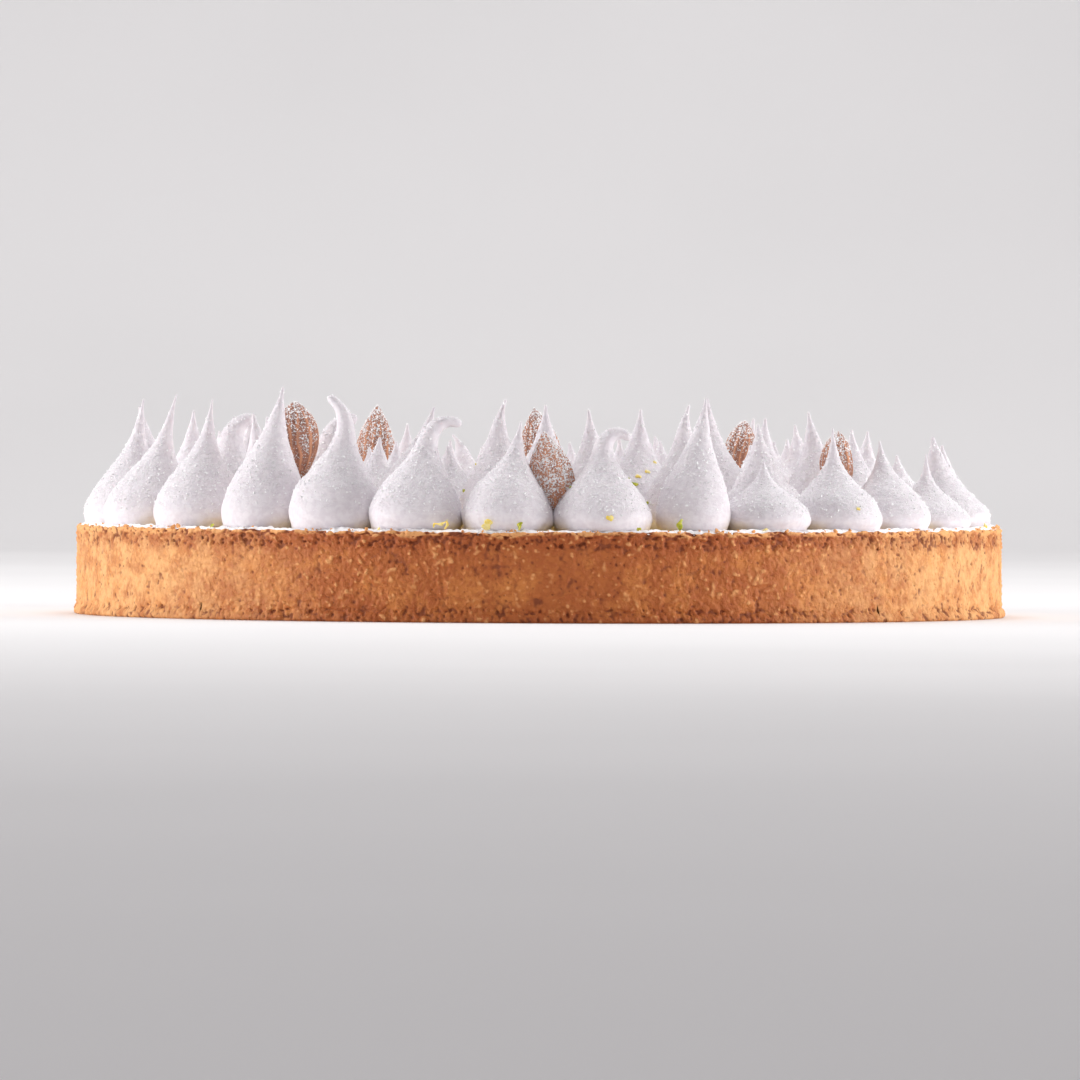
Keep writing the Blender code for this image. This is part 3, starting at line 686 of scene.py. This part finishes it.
def kiss_width(share, kiss, tip):
    """Radius of a kiss along its length: a bulb that narrows to a point by a logistic curve, a foot
    that tucks in under it, and a round end. A straight one is drawn out finer still at the end, and a
    hooked one has a thicker neck."""
    half, softness, _ = kiss["shape"]
    falling = (1 + math.exp(-half / softness)) / (1 + np.exp((share - half) / softness))
    foot = 1 - UNDERCUT * np.clip(1 - share / UNDERCUT_LENGTH, 0, 1) ** 2
    start = 1 - 1.3 * tip / USUAL_HEIGHT
    end = np.sqrt(np.clip(1 - np.clip((share - start) / (1 - start), 0, 1) ** 2, 0.03, 1))
    neck = HOOK_NECK * np.exp(-(((share - 0.78) / 0.16) ** 2)) * (tip == HOOK_RADIUS)
    point = 1 - FINE_POINT * ease(share, 0.78, 1.0) * (tip == TIP_RADIUS)
    return (kiss["bulb"] * falling * foot + neck + tip * share**2) * point * end


def kiss_rings(kiss, levels, sides, seed):
    """The rings of a kiss, square to its spine. The bulb is a little out of round and its skin is
    slightly lumpy. Fine wrinkles run round it where the bulb turns into the point, and some kisses
    have a step there, where the nozzle paused."""
    share, spine, ahead = kiss_spine(kiss)
    spot = np.interp(np.linspace(0, 1, levels), [0, 0.14, 0.8, 1], [0, 0.07, 0.88, 1])
    middle, forward = (
        np.stack([np.interp(spot, share, line[:, axis]) for axis in range(3)], axis=-1)
        for line in (spine, ahead)
    )
    forward = unit(forward)
    right = unit(np.cross([0.0, 1.0, 0.0], forward))
    back = np.cross(forward, right)
    around = full_turn(sides)[..., None]
    spoke = np.cos(around) * right[:, None] + np.sin(around) * back[:, None]
    tip = HOOK_RADIUS if abs(kiss["curl"]) > 1 else TIP_RADIUS
    width = kiss_width(spot, kiss, tip)[:, None, None]
    rings = middle[:, None] + width * spoke + kiss["foot"]
    turned = spot[:, None] + 0.03 * lumps(rings, 8 * MM, seed + 5)
    step = np.exp(-(((turned - 0.27) / 0.07) ** 2)) - np.exp(-(((turned - 0.40) / 0.05) ** 2))
    wrinkled = ease(turned, 0.16, 0.3) * ease(-turned, -0.75, -0.5)
    skin = 0.022 * lumps(rings, 11 * MM, seed) + 0.008 * lumps(rings, 4 * MM, seed + 1)
    skin += 0.050 * step * max(0.0, math.sin(2.4 * seed)) ** 4
    wrinkles = 0.11 * MM * lumps(rings * [1, 1, WRINKLE_SQUEEZE], 1.6 * MM, seed + 2)
    wrinkles += 0.08 * MM * lumps(rings * [1, 1, 1.8], 0.9 * MM, seed + 3)
    rings = rings + (width * skin[..., None] + (wrinkles * wrinkled)[..., None]) * spoke
    rings[..., 2] = np.where(spot[:, None] < 0.001, KISS_FLOOR, np.maximum(rings[..., 2], KISS_FLOOR))
    return rings


def soft_meringue():
    """White meringue, slightly translucent and smooth low on the bulb, where it faces down, and
    wrinkled and dulled by the finest icing sugar where it faces up."""
    made = Finish("soft_meringue", Subsurface_Weight=0.08, Subsurface_Scale=1.6 * MM)
    normal = made.add("ShaderNodeNewGeometry").outputs["Normal"]
    upward = made.span(made.add("ShaderNodeSeparateXYZ", Vector=normal).outputs["Z"], -0.8, 0.8)
    dull = made.level(upward, 0.36, 0.85)
    made.fill(made.shader, Roughness=dull, Subsurface_Radius=(1.0, 0.8, 0.75))
    clouds = made.span(made.speckle(700.0, 3.0), 0.35, 0.65)
    smooth = made.blend(clouds, (0.785, 0.73, 0.77, 1), (0.855, 0.81, 0.84, 1))
    colour, clots = made.sugared(smooth, made.times(upward, 0.46), 2600.0)
    flat = made.add("ShaderNodeMapping", Vector=made.where, Scale=(1.0, 1.0, WRINKLE_SQUEEZE))
    crepe = made.speckle(850.0, 4.0, 0.65, flat.outputs["Vector"])
    fine = made.maths("MULTIPLY", made.maths("MULTIPLY_ADD", clots, 0.6, crepe), upward)
    return made.painted(colour, fine, 0.45 * MM)


def pipe(name, kiss, node_name, grid, seed):
    """One kiss as a piece that stands for its node. Returns its rings."""
    rings = kiss_rings(kiss, *grid, seed)
    made = closed_surface(name, rings, meringue)
    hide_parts(node_name)
    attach(made, "root")
    return rings


def outer_kisses():
    """The near half as it stands, the far half spread evenly over the rest of the ring."""
    last, first = NEAR_KISSES[-1][0], NEAR_KISSES[0][0] + 360
    step = (first - last) / (len(FAR_KISSES) + 1)
    far = [(last + step * k, *row) for k, row in enumerate(FAR_KISSES, start=1)]
    return [one_kiss(OUTER_RING_RADIUS, row) for row in NEAR_KISSES + tuple(far)]


meringue = soft_meringue()
piped = []
for number, kiss in enumerate(outer_kisses(), start=1):
    node_name = f"kiss_outer_{number:02d}"
    piped.append(pipe(f"piped_{node_name}", kiss, node_name, OUTER_GRID, 100 + 10 * number))


# The second ring of kisses, piped inside the first. Two of them were pulled sideways, and their
# points bend over like hooks.

SECOND_RING = (84.0 * MM, 22, -7.0)  # radius, number of kisses, angle of the first
# Evenly spaced from the near side towards +X: height, bulb radius, shift, curl
SECOND_KISSES = (
    (32.2, 12.0, -0.6, 0.45),
    (29.7, 11.9, -1.6, 0.0),
    (31.0, 12.0, -0.6, 0.35),
    (26.4, 12.3, -1.2, 0.0),
    (29.5, 12.0, -3.2, 0.0),
    (25.2, 11.8, -0.9, 0.0),
    (24.8, 11.9, 1.2, 0.0),
    (21.0, 11.8, 0.0, 0.0),
    (26.6, 12.0, -2.3, 0.0),
    (28.2, 11.9, 3.2, 0.0),
    (23.4, 12.0, -2.6, 0.0),
    (21.5, 11.9, -2.4, 0.0),
    (23.5, 12.1, -1.6, 0.6),
    (26.4, 11.8, 0.8, 0.0),
    (22.5, 12.0, 1.0, 0.0),
    (28.0, 11.9, -0.8, 0.0),
    (28.0, 12.0, 0.8, 0.0),
    (24.0, 11.9, 0.6, 0.0),
    (27.3, 12.1, 0.5, 1.5),
    (28.6, 11.9, -3.6, 0.0),
    (27.0, 12.2, 1.2, 1.6),
    (30.2, 12.1, 6.4, 0.0),
)
SECOND_GRID = (72, 72)


def ring_kisses(ring, rows):
    """The kisses of an evenly spaced ring."""
    radius, count, first = ring
    return [one_kiss(radius, (first + 360 * k / count, *row)) for k, row in enumerate(rows)]


for number, kiss in enumerate(ring_kisses(SECOND_RING, SECOND_KISSES), start=1):
    node_name = f"kiss_second_{number:02d}"
    piped.append(pipe(f"piped_{node_name}", kiss, node_name, SECOND_GRID, 500 + 10 * number))


# The kisses in the middle: three more rings of them, piped so close that they run together.

# Each ring's radius, number of kisses and angle of the first, and then their heights in mm
CENTRE_RINGS = (
    (61.0 * MM, 16, 1.2),
    (38.0 * MM, 10, -14.0),
    (15.5 * MM, 4, 20.0),
)
CENTRE_HEIGHTS = (
    (31.0, 30.0, 33.0, 28.0, 22.0, 21.0, 20.0, 22.5, 20.5, 22.0, 20.0, 21.5, 20.0, 21.0, 22.5, 20.5),
    (21.0, 19.5, 22.0, 20.0, 21.5, 19.0, 22.0, 20.5, 21.5, 20.0),
    (20.5, 22.0, 19.5, 21.5),
)
CENTRE_BULB = 13.2  # mm
CENTRE_GRID = (56, 56)


def joined_surfaces(name, parts, finish):
    """Many closed surfaces of equal grids in one mesh: each has its own points and faces."""
    quads, ends = closed_faces(*parts[0].shape[:2])
    points = [with_ends(rings) for rings in parts]
    step = len(points[0]) * np.arange(len(parts))[:, None, None]
    faces = [(quads + step).reshape(-1, 4), (ends + step).reshape(-1, 3)]
    return mesh_object(name, np.vstack(points), faces, finish)


centre_rings = []
for ring, heights in zip(CENTRE_RINGS, CENTRE_HEIGHTS):
    rows = [(high, CENTRE_BULB, 1.4 * math.sin(2.4 * k), 0.0) for k, high in enumerate(heights)]
    for kiss in ring_kisses(ring, rows):
        centre_rings.append(kiss_rings(kiss, *CENTRE_GRID, 900 + 10 * len(centre_rings)))
centre = joined_surfaces("piped_kisses_centre", centre_rings, meringue)
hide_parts("kisses_centre")
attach(centre, "root")


# The almonds: whole, with their brown skins on, pushed upright between the kisses before the sugar
# was sifted over. The skin has lengthwise ridges, and sugar lies thickest on the nearest one.

ALMOND_LENGTH = 21.0 * MM
ALMOND_WIDTH = 11.4 * MM
ALMOND_THICKNESS = 7.8 * MM
ALMOND_BLUNTNESS = 0.84
ALMOND_SHOULDER = 0.42
ALMOND_GRID = (90, 112)
ALMOND_RIDGES = (13, 21)  # the strong ones round it and the weak ones
# Angle, ring radius, height of the upper end above the case, tilt towards +X, turn about its own
# length (degrees), 1 with the pointed end up or -1 with it down, how much sugar it carries, how
# much less of it lies on the ridges, and how light the skin is, from 0 to 1
ALMONDS = (
    (-39.2, 97.0 * MM, 31.6 * MM, -4.0, 25.0, -1, 0.38, 0.16, 0.1),
    (217.2, 72.5 * MM, 31.4 * MM, 2.0, -38.0, 1, 0.43, 0.08, 0.4),
    (182.0, 5.5 * MM, 30.8 * MM, -8.0, 30.0, 1, 0.42, 0.10, 0.4),
    (1.4, 104.5 * MM, 24.4 * MM, -10.0, -12.0, 1, 0.44, 0.02, 1.0),
    (133.4, 72.5 * MM, 27.8 * MM, 9.0, 66.0, -1, 0.40, 0.10, 0.1),
    (51.8, 95.5 * MM, 24.8 * MM, 2.0, -72.0, -1, 0.40, 0.12, 0.4),
)


def almond_surface(row, seed):
    """Rings of an almond where row puts it: an oval cross-section whose size along the length is a
    power of a half sine, with narrow ridges that wander along it and fade at the ends. Then how
    high each point is on its ridge, from 0 in the grooves to 1."""
    angle, radius, top, tilt, twist, point, *_ = row
    levels, sides = ALMOND_GRID
    share = (0.5 - 0.5 * np.cos(math.pi * np.linspace(0.02, 0.98, levels)))[:, None]
    around = full_turn(sides)
    bent = share ** (math.log(0.5) / math.log(ALMOND_SHOULDER))
    full = np.sin(math.pi * bent) ** ALMOND_BLUNTNESS
    drum = np.stack([1.6 * share + 0 * around, np.cos(around) + 0 * share, np.sin(around) + 0 * share], -1)
    wander = 1.5 * lumps(drum * [2.2, 1, 1], 0.8, seed) + 0.7 * lumps(drum, 0.25, seed + 50)
    strong, weak = ALMOND_RIDGES
    line = np.cos(strong * around + seed + wander) + 0.5 * np.cos(weak * around + 2 * wander)
    ridge = ease(line, 0.0, 1.25) * ease(full, 0.3, 0.75)
    swell = 1 + 0.055 * (ridge - 0.4)
    across = full * swell * 0.5 * ALMOND_WIDTH * np.cos(around)
    through = full * swell * 0.5 * ALMOND_THICKNESS * np.sin(around)
    height = point * ALMOND_LENGTH * (share - 0.5) + 0 * around
    points = np.stack([across, through, height], axis=-1)
    points += 0.12 * MM * lumps(points, 3.0 * MM, seed)[..., None] * full[..., None]
    spin, lean = math.radians(twist), math.radians(tilt)
    turn = np.array([[math.cos(spin), -math.sin(spin), 0], [math.sin(spin), math.cos(spin), 0], [0, 0, 1]])
    tip = np.array([[math.cos(lean), 0, math.sin(lean)], [0, 1, 0], [-math.sin(lean), 0, math.cos(lean)]])
    points = points @ turn.T @ tip.T
    points += around_tart(radius, math.radians(angle), CASE_HEIGHT + top - 0.5 * ALMOND_LENGTH)
    return (points, ridge) if point > 0 else (points[::-1], ridge[::-1])


def almond_skin(name, cover, cleaner, light):
    """Brown papery skin, rust on its ridges and dark in the grooves, under specks of icing sugar that
    lie thickest in the grooves. cleaner is how much thinner they lie on the ridges, and light how
    light the skin is."""
    made = Finish(name, Roughness=0.75)
    ridge = made.attribute("ridge")
    fibre = made.speckle(700.0, 4.0, 0.7)
    pale = (0.40 + 0.26 * light, 0.175 + 0.135 * light, 0.11 + 0.08 * light, 1)
    dark = (0.19 + 0.20 * light, 0.076 + 0.090 * light, 0.05 + 0.06 * light, 1)
    colour = made.blend(made.span(fibre, 0.35, 0.7), pale, dark)
    colour = made.blend(made.times(ridge, 0.85), colour, (0.68, 0.32, 0.18, 1))
    lying = made.level(made.speckle(300.0, 3.0), cover - 0.02, cover + 0.12, 0.35, 0.65)
    lying = made.less(lying, made.times(ridge, cleaner))
    colour, clots = made.sugared(colour, lying, 2300.0)
    return made.painted(colour, made.maths("ADD", fibre, clots), 0.3 * MM, 0.9)


dusted = []
for number, row in enumerate(ALMONDS, start=1):
    rings, ridge = almond_surface(row, 40 + number)
    finish = almond_skin(f"almond_skin_{number}", *row[-3:])
    made = closed_surface(f"whole_almond_{number}", rings, finish)
    keep_values(made, "ridge", ridge)
    dusted.append(rings)
    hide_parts(f"almond_{number}")
    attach(made, "root")


# The last dusting: grains of icing sugar that caught on the upward faces of the kisses and the
# almonds, each a clump of crystals about a third of a millimetre wide.

GRAINS_ON_KISSES = 30000
GRAINS_ON_ALMONDS = 5000
GRAIN_SIZES = (0.22, 0.50)  # the smallest and the largest, in mm


def settled_grains(surfaces, count, rng):
    """Places on the given grids of points where grains lie. Each face is as likely as its area times
    how far it looks up, and a grain lies at random within its face."""
    places, chances = [], []
    for rings in surfaces:
        ahead = np.roll(rings, -1, axis=1)
        facing = np.cross(ahead[:-1] - rings[:-1], rings[1:] - rings[:-1])
        area = np.linalg.norm(facing, axis=-1)
        upward = facing[..., 2] / np.maximum(area, 1e-15)
        corners = np.stack([rings[:-1], ahead[:-1], rings[1:], ahead[1:]], axis=-2)
        places.append(corners.reshape(-1, 4, 3))
        chances.append((area * ease(upward, -0.15, 0.6)).ravel())
    places, chances = np.concatenate(places), np.concatenate(chances)
    chosen = places[rng.choice(len(places), count, p=chances / chances.sum())]
    u, v = rng.uniform(0, 1, (2, count, 1))
    low = chosen[:, 0] * (1 - u) + chosen[:, 1] * u
    return low * (1 - v) + (chosen[:, 2] * (1 - u) + chosen[:, 3] * u) * v


def sugar_crystals():
    """Bright white crystals, a shade greyer from one clump to the next."""
    made = Finish("sugar_crystals", Roughness=0.35)
    tone = made.span(made.speckle(900.0), 0.35, 0.65)
    return made.painted(made.blend(tone, (0.96, 0.95, 0.96, 1), (1.0, 0.995, 1.0, 1)))


rng = np.random.default_rng(11)
crystals = sugar_crystals()
for name, surfaces, count, coarse in (
    ("grains_on_kisses", piped + centre_rings, GRAINS_ON_KISSES, 1.0),
    ("grains_on_almonds", dusted, GRAINS_ON_ALMONDS, 0.8),
):
    spots = settled_grains(surfaces, count, rng)
    sizes = coarse * rng.uniform(*GRAIN_SIZES, (count, 1)) * rng.uniform(0.8, 1.2, (count, 3)) * MM
    grains = scattered(name, GRAIN_SHAPE, GRAIN_FACES, spots, sizes, rng, crystals)
    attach(grains, "root")


# The zest: shreds of lemon and lime peel from a fine grater, dropped on last. They lie curled on the
# rim and stick to the sides of the kisses, yellow and green.

ZEST_RING = 118.6 * MM
ZEST_THICKNESS = 0.28 * MM
ZEST_GRID = (16, 8)
# On the rim: angle, length, width (mm), how far it stands up, how far it is turned out from the
# rim's own direction (degrees), how much it curls, and 0 for lemon or 1 for lime
RIM_ZEST = (
    (-43.9, 2.0, 1.0, 12, 20, 0.3, 1),
    (-19.7, 1.0, 0.8, 5, 40, 0.2, 0),
    (-11.9, 4.6, 0.9, 28, 10, 1.1, 0),
    (-11.2, 2.6, 0.8, 80, 0, 0.7, 0),
    (-6.3, 2.9, 2.3, 74, 10, 0.4, 0),
    (-2.4, 2.3, 1.4, 66, 0, 0.5, 1),
    (11.9, 1.4, 0.9, 20, 30, 0.3, 1),
    (17.0, 3.1, 1.4, 78, 0, 0.4, 1),
    (28.2, 1.6, 0.7, 8, 5, 0.3, 0),
)
FAR_RIM_ZEST = 8
FAR_RIM_START, FAR_RIM_STEP = 74.0, 26.5  # degrees
# On the kisses: the kiss's place in the order of piping, shares of the way up and round it, length,
# width (mm), a turn (degrees), and 0 for lemon or 1 for lime
KISS_ZEST = (
    (29, 0.31, 0.569, 1.8, 0.9, 30, 1),
    (29, 0.49, 0.542, 0.8, 0.6, 0, 0),
    (7, 0.37, 0.568, 0.9, 0.7, 60, 1),
    (7, 0.145, 0.784, 2.0, 1.4, 75, 0),
    (52, 0.38, 0.735, 2.4, 1.0, 25, 1),
    (52, 0.42, 0.765, 1.7, 0.9, -30, 0),
    (52, 0.47, 0.821, 1.5, 0.9, 10, 0),
    (52, 0.545, 0.893, 1.2, 0.8, 40, 0),
    (31, 0.25, 0.583, 1.9, 1.3, 15, 1),
    (53, 0.33, 0.179, 1.3, 0.6, 0, 0),
    (10, 0.24, 0.830, 1.1, 0.8, 20, 0),
    (16, 0.16, 0.42, 1.6, 0.9, 45, 1),
    (20, 0.20, 0.55, 1.4, 0.9, -20, 0),
    (24, 0.25, 0.70, 1.6, 1.0, 70, 1),
)
LOOSE_ZEST = 22  # on the kisses further in and at the back, where the near side does not show them


def zest_shred(length, width, curl, seed):
    """Rings of a shred that lies along X: a flat strip with an oval section that tapers to its ends.
    It arches up by half a sine wave, wanders sideways by a whole one, and twists as it goes."""
    share = np.linspace(0.02, 0.98, ZEST_GRID[0])[:, None]
    around = full_turn(ZEST_GRID[1])
    full = np.sin(math.pi * share) ** 0.45 * (1 + 0.25 * np.sin(9 * share + seed))
    across = 0.5 * width * full * np.cos(around)
    through = 0.5 * ZEST_THICKNESS * full * np.sin(around)
    twist = 1.4 * curl * np.sin(3.5 * share + seed)
    arch = 0.3 * curl * length * np.sin(math.pi * share)
    wander = 0.16 * curl * length * np.sin(2 * math.pi * share + seed)
    side = across * np.cos(twist) - through * np.sin(twist) + wander
    rise = across * np.sin(twist) + through * np.cos(twist) + arch
    return np.stack([length * (share - 0.5) + 0 * around, side, rise], axis=-1)


def laid(shred, spot, along, out):
    """The shred moved to spot and turned so that its length runs along one direction and its flat
    side faces as nearly as it can to the other."""
    along = unit(along)
    third = unit(np.cross(out, along))
    return shred @ np.stack([along, third, np.cross(along, third)]) + spot


def shred_on_rim(angle, length, width, stands, turned, curl):
    """A shred on the sugar of the rim. One that stands up has its lower end in the sugar."""
    radial = around_tart(1.0, math.radians(angle), 0.0)
    tangent = np.array([-radial[1], radial[0], 0.0])
    turned, stands = math.radians(turned), math.radians(stands)
    level = math.cos(turned) * tangent + math.sin(turned) * radial
    along = math.cos(stands) * level + np.array([0.0, 0.0, math.sin(stands)])
    top = CASE_HEIGHT - rim_sag(math.radians(angle)) + 0.35 * MM
    spot = ZEST_RING * radial + [0, 0, top + 0.45 * length * math.sin(stands)]
    return laid(zest_shred(length, width, curl, angle), spot, along, 0.8 * radial + [0, 0, 0.6])


def shred_on_kiss(rings, level, side, length, width, turned):
    """A shred pressed against a kiss at those shares of the way up and round its grid. It lies along
    the ring there. turned tips it very slightly and sets how it twists and wanders."""
    row = int(level * (len(rings) - 1))
    column = int(side * rings.shape[1]) % rings.shape[1]
    spot = rings[row, column]
    round_it = rings[row, (column + 1) % rings.shape[1]] - rings[row, column - 1]
    up_it = rings[row + 1, column] - rings[row - 1, column]
    out = unit(np.cross(round_it, up_it))
    turned = math.radians(turned)
    along = math.cos(turned) * unit(round_it) + math.sin(turned) * np.cross(out, round_it)
    return laid(zest_shred(length, width, 0.3, turned), spot + 0.05 * MM * out, along, out)


def citrus_peel(name, deep, pale):
    """Grated peel: its oily outer skin in one colour, with paler flecks of pith."""
    made = Finish(name, Roughness=0.42, Subsurface_Weight=0.1, Subsurface_Scale=0.4 * MM)
    pith = made.speckle(900.0, 3.0, 0.6)
    return made.painted(made.blend(made.span(pith, 0.38, 0.64), deep, pale), pith, 0.2 * MM, 0.8)


rng = np.random.default_rng(23)
shreds = ([], [])
for angle, length, width, stands, turned, curl, kind in RIM_ZEST:
    shreds[kind].append(shred_on_rim(angle, length * MM, width * MM, stands, turned, curl))
for number in range(FAR_RIM_ZEST):
    angle = FAR_RIM_START + FAR_RIM_STEP * number
    length, width = rng.uniform((1.4, 0.7), (3.0, 1.3)) * MM
    stands, turned, curl = rng.uniform((5, -40, 0.2), (60, 40, 0.8))
    shreds[number % 2].append(shred_on_rim(angle, length, width, stands, turned, curl))
surfaces = piped + centre_rings
for number, level, side, length, width, turned, kind in KISS_ZEST:
    shreds[kind].append(shred_on_kiss(surfaces[number], level, side, length * MM, width * MM, turned))
for number in range(LOOSE_ZEST):
    rings = surfaces[rng.integers(40, len(surfaces))]
    level, side, turned = rng.uniform((0.25, 0, -90), (0.6, 1, 90))
    length, width = rng.uniform((1.0, 0.6), (2.2, 1.1)) * MM
    shreds[number % 2].append(shred_on_kiss(rings, level, side, length, width, turned))
for parts, kind, deep, pale in (
    (shreds[0], "lemon", (0.88, 0.66, 0.09, 1), (0.93, 0.82, 0.36, 1)),
    (shreds[1], "lime", (0.30, 0.36, 0.012, 1), (0.62, 0.58, 0.05, 1)),
):
    zest = joined_surfaces(f"{kind}_zest", parts, citrus_peel(f"{kind}_peel", deep, pale))
    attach(zest, "root")


# The stage: a pale floor that curves up behind, a softbox at each side and one overhead, a light each
# for the floor in front and the backdrop, and a long-lens camera almost level with the rim.

STAGE_WIDTH = 7.0
FLOOR_FRONT = -3.6
FLOOR_BACK = 1.6
BEND_RADIUS = 1.0
WALL_TOP = 3.0
CAMERA_DISTANCE = 2.4
CAMERA_ELEVATION = math.radians(0.55)
CAMERA_ROLL = math.radians(0.27)
LOOK_HEIGHT = 19.45 * MM
FOCAL_PIXELS = 9227
FRAME_PIXELS = 1080


def sweep():
    """A sheet along a path: flat floor, a quarter circle, then an upright wall."""
    bend = np.linspace(0, math.pi / 2, 24)
    curve = np.column_stack([FLOOR_BACK + BEND_RADIUS * np.sin(bend), BEND_RADIUS * (1 - np.cos(bend))])
    path = np.vstack([[FLOOR_FRONT, 0.0], curve, [FLOOR_BACK + BEND_RADIUS, WALL_TOP]])
    half = 0.5 * STAGE_WIDTH
    left = np.column_stack([np.full(len(path), -half), path])
    right = np.column_stack([np.full(len(path), half), path])
    start = np.arange(len(path) - 1)
    faces = np.column_stack([start, start + len(path), start + len(path) + 1, start + 1])
    made = Finish("pale_sweep", Roughness=0.9)
    tone = made.span(made.speckle(3.0), 0.3, 0.7)
    finish = made.painted(made.blend(tone, (0.74, 0.73, 0.73, 1), (0.77, 0.76, 0.76, 1)))
    return mesh_object("pale_sweep", np.vstack([left, right]), [faces], finish)


def softbox(name, place_at, aim, width, height, watts):
    """A rectangular area light at a point, facing another."""
    light = bpy.data.lights.new(name, "AREA")
    light.shape = "RECTANGLE"
    light.size = width
    light.size_y = height
    light.energy = watts
    made = bpy.data.objects.new(name, light)
    made.location = place_at
    made.rotation_mode = "QUATERNION"
    made.rotation_quaternion = (Vector(aim) - Vector(place_at)).to_track_quat("-Z", "Y")
    bpy.context.scene.collection.objects.link(made)


sweep()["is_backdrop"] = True
softbox("left_softbox", (-1.0, -0.15, 0.24), (0, 0, 0.03), 0.7, 0.42, 8)
softbox("right_softbox", (1.0, -0.15, 0.24), (0, 0, 0.03), 0.7, 0.42, 8)
softbox("top_softbox", (0.0, 0.35, 1.4), (0, 0.03, 0), 1.2, 0.8, 13)
softbox("front_fill", (0.0, -1.9, 1.5), (0, -1.3, 0.0), 2.4, 1.2, 7.5)
softbox("backdrop_light", (0.0, 1.3, 2.4), (0, 2.6, 0.7), 3.0, 0.8, 32)

world = bpy.data.worlds.new("studio")
world.use_nodes = True
background = world.node_tree.nodes["Background"]
background.inputs["Color"].default_value = (1.0, 0.94, 0.985, 1.0)
background.inputs["Strength"].default_value = 0.25
bpy.context.scene.world = world
bpy.context.scene.view_settings.view_transform = "Standard"

lens = bpy.data.cameras.new("camera")
lens.sensor_width = 36.0
lens.lens = FOCAL_PIXELS * lens.sensor_width / FRAME_PIXELS
lens.clip_end = 60.0
camera = bpy.data.objects.new("camera", lens)
camera.location = (
    0.0,
    -CAMERA_DISTANCE * math.cos(CAMERA_ELEVATION),
    LOOK_HEIGHT + CAMERA_DISTANCE * math.sin(CAMERA_ELEVATION),
)
camera.rotation_mode = "QUATERNION"
level = Quaternion((1, 0, 0), math.pi / 2 - CAMERA_ELEVATION)
camera.rotation_quaternion = level @ Quaternion((0, 0, 1), CAMERA_ROLL)
bpy.context.scene.collection.objects.link(camera)
bpy.context.scene.camera = camera

size = {"cad": cad_box, "visual": [list(corner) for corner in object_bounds()]}
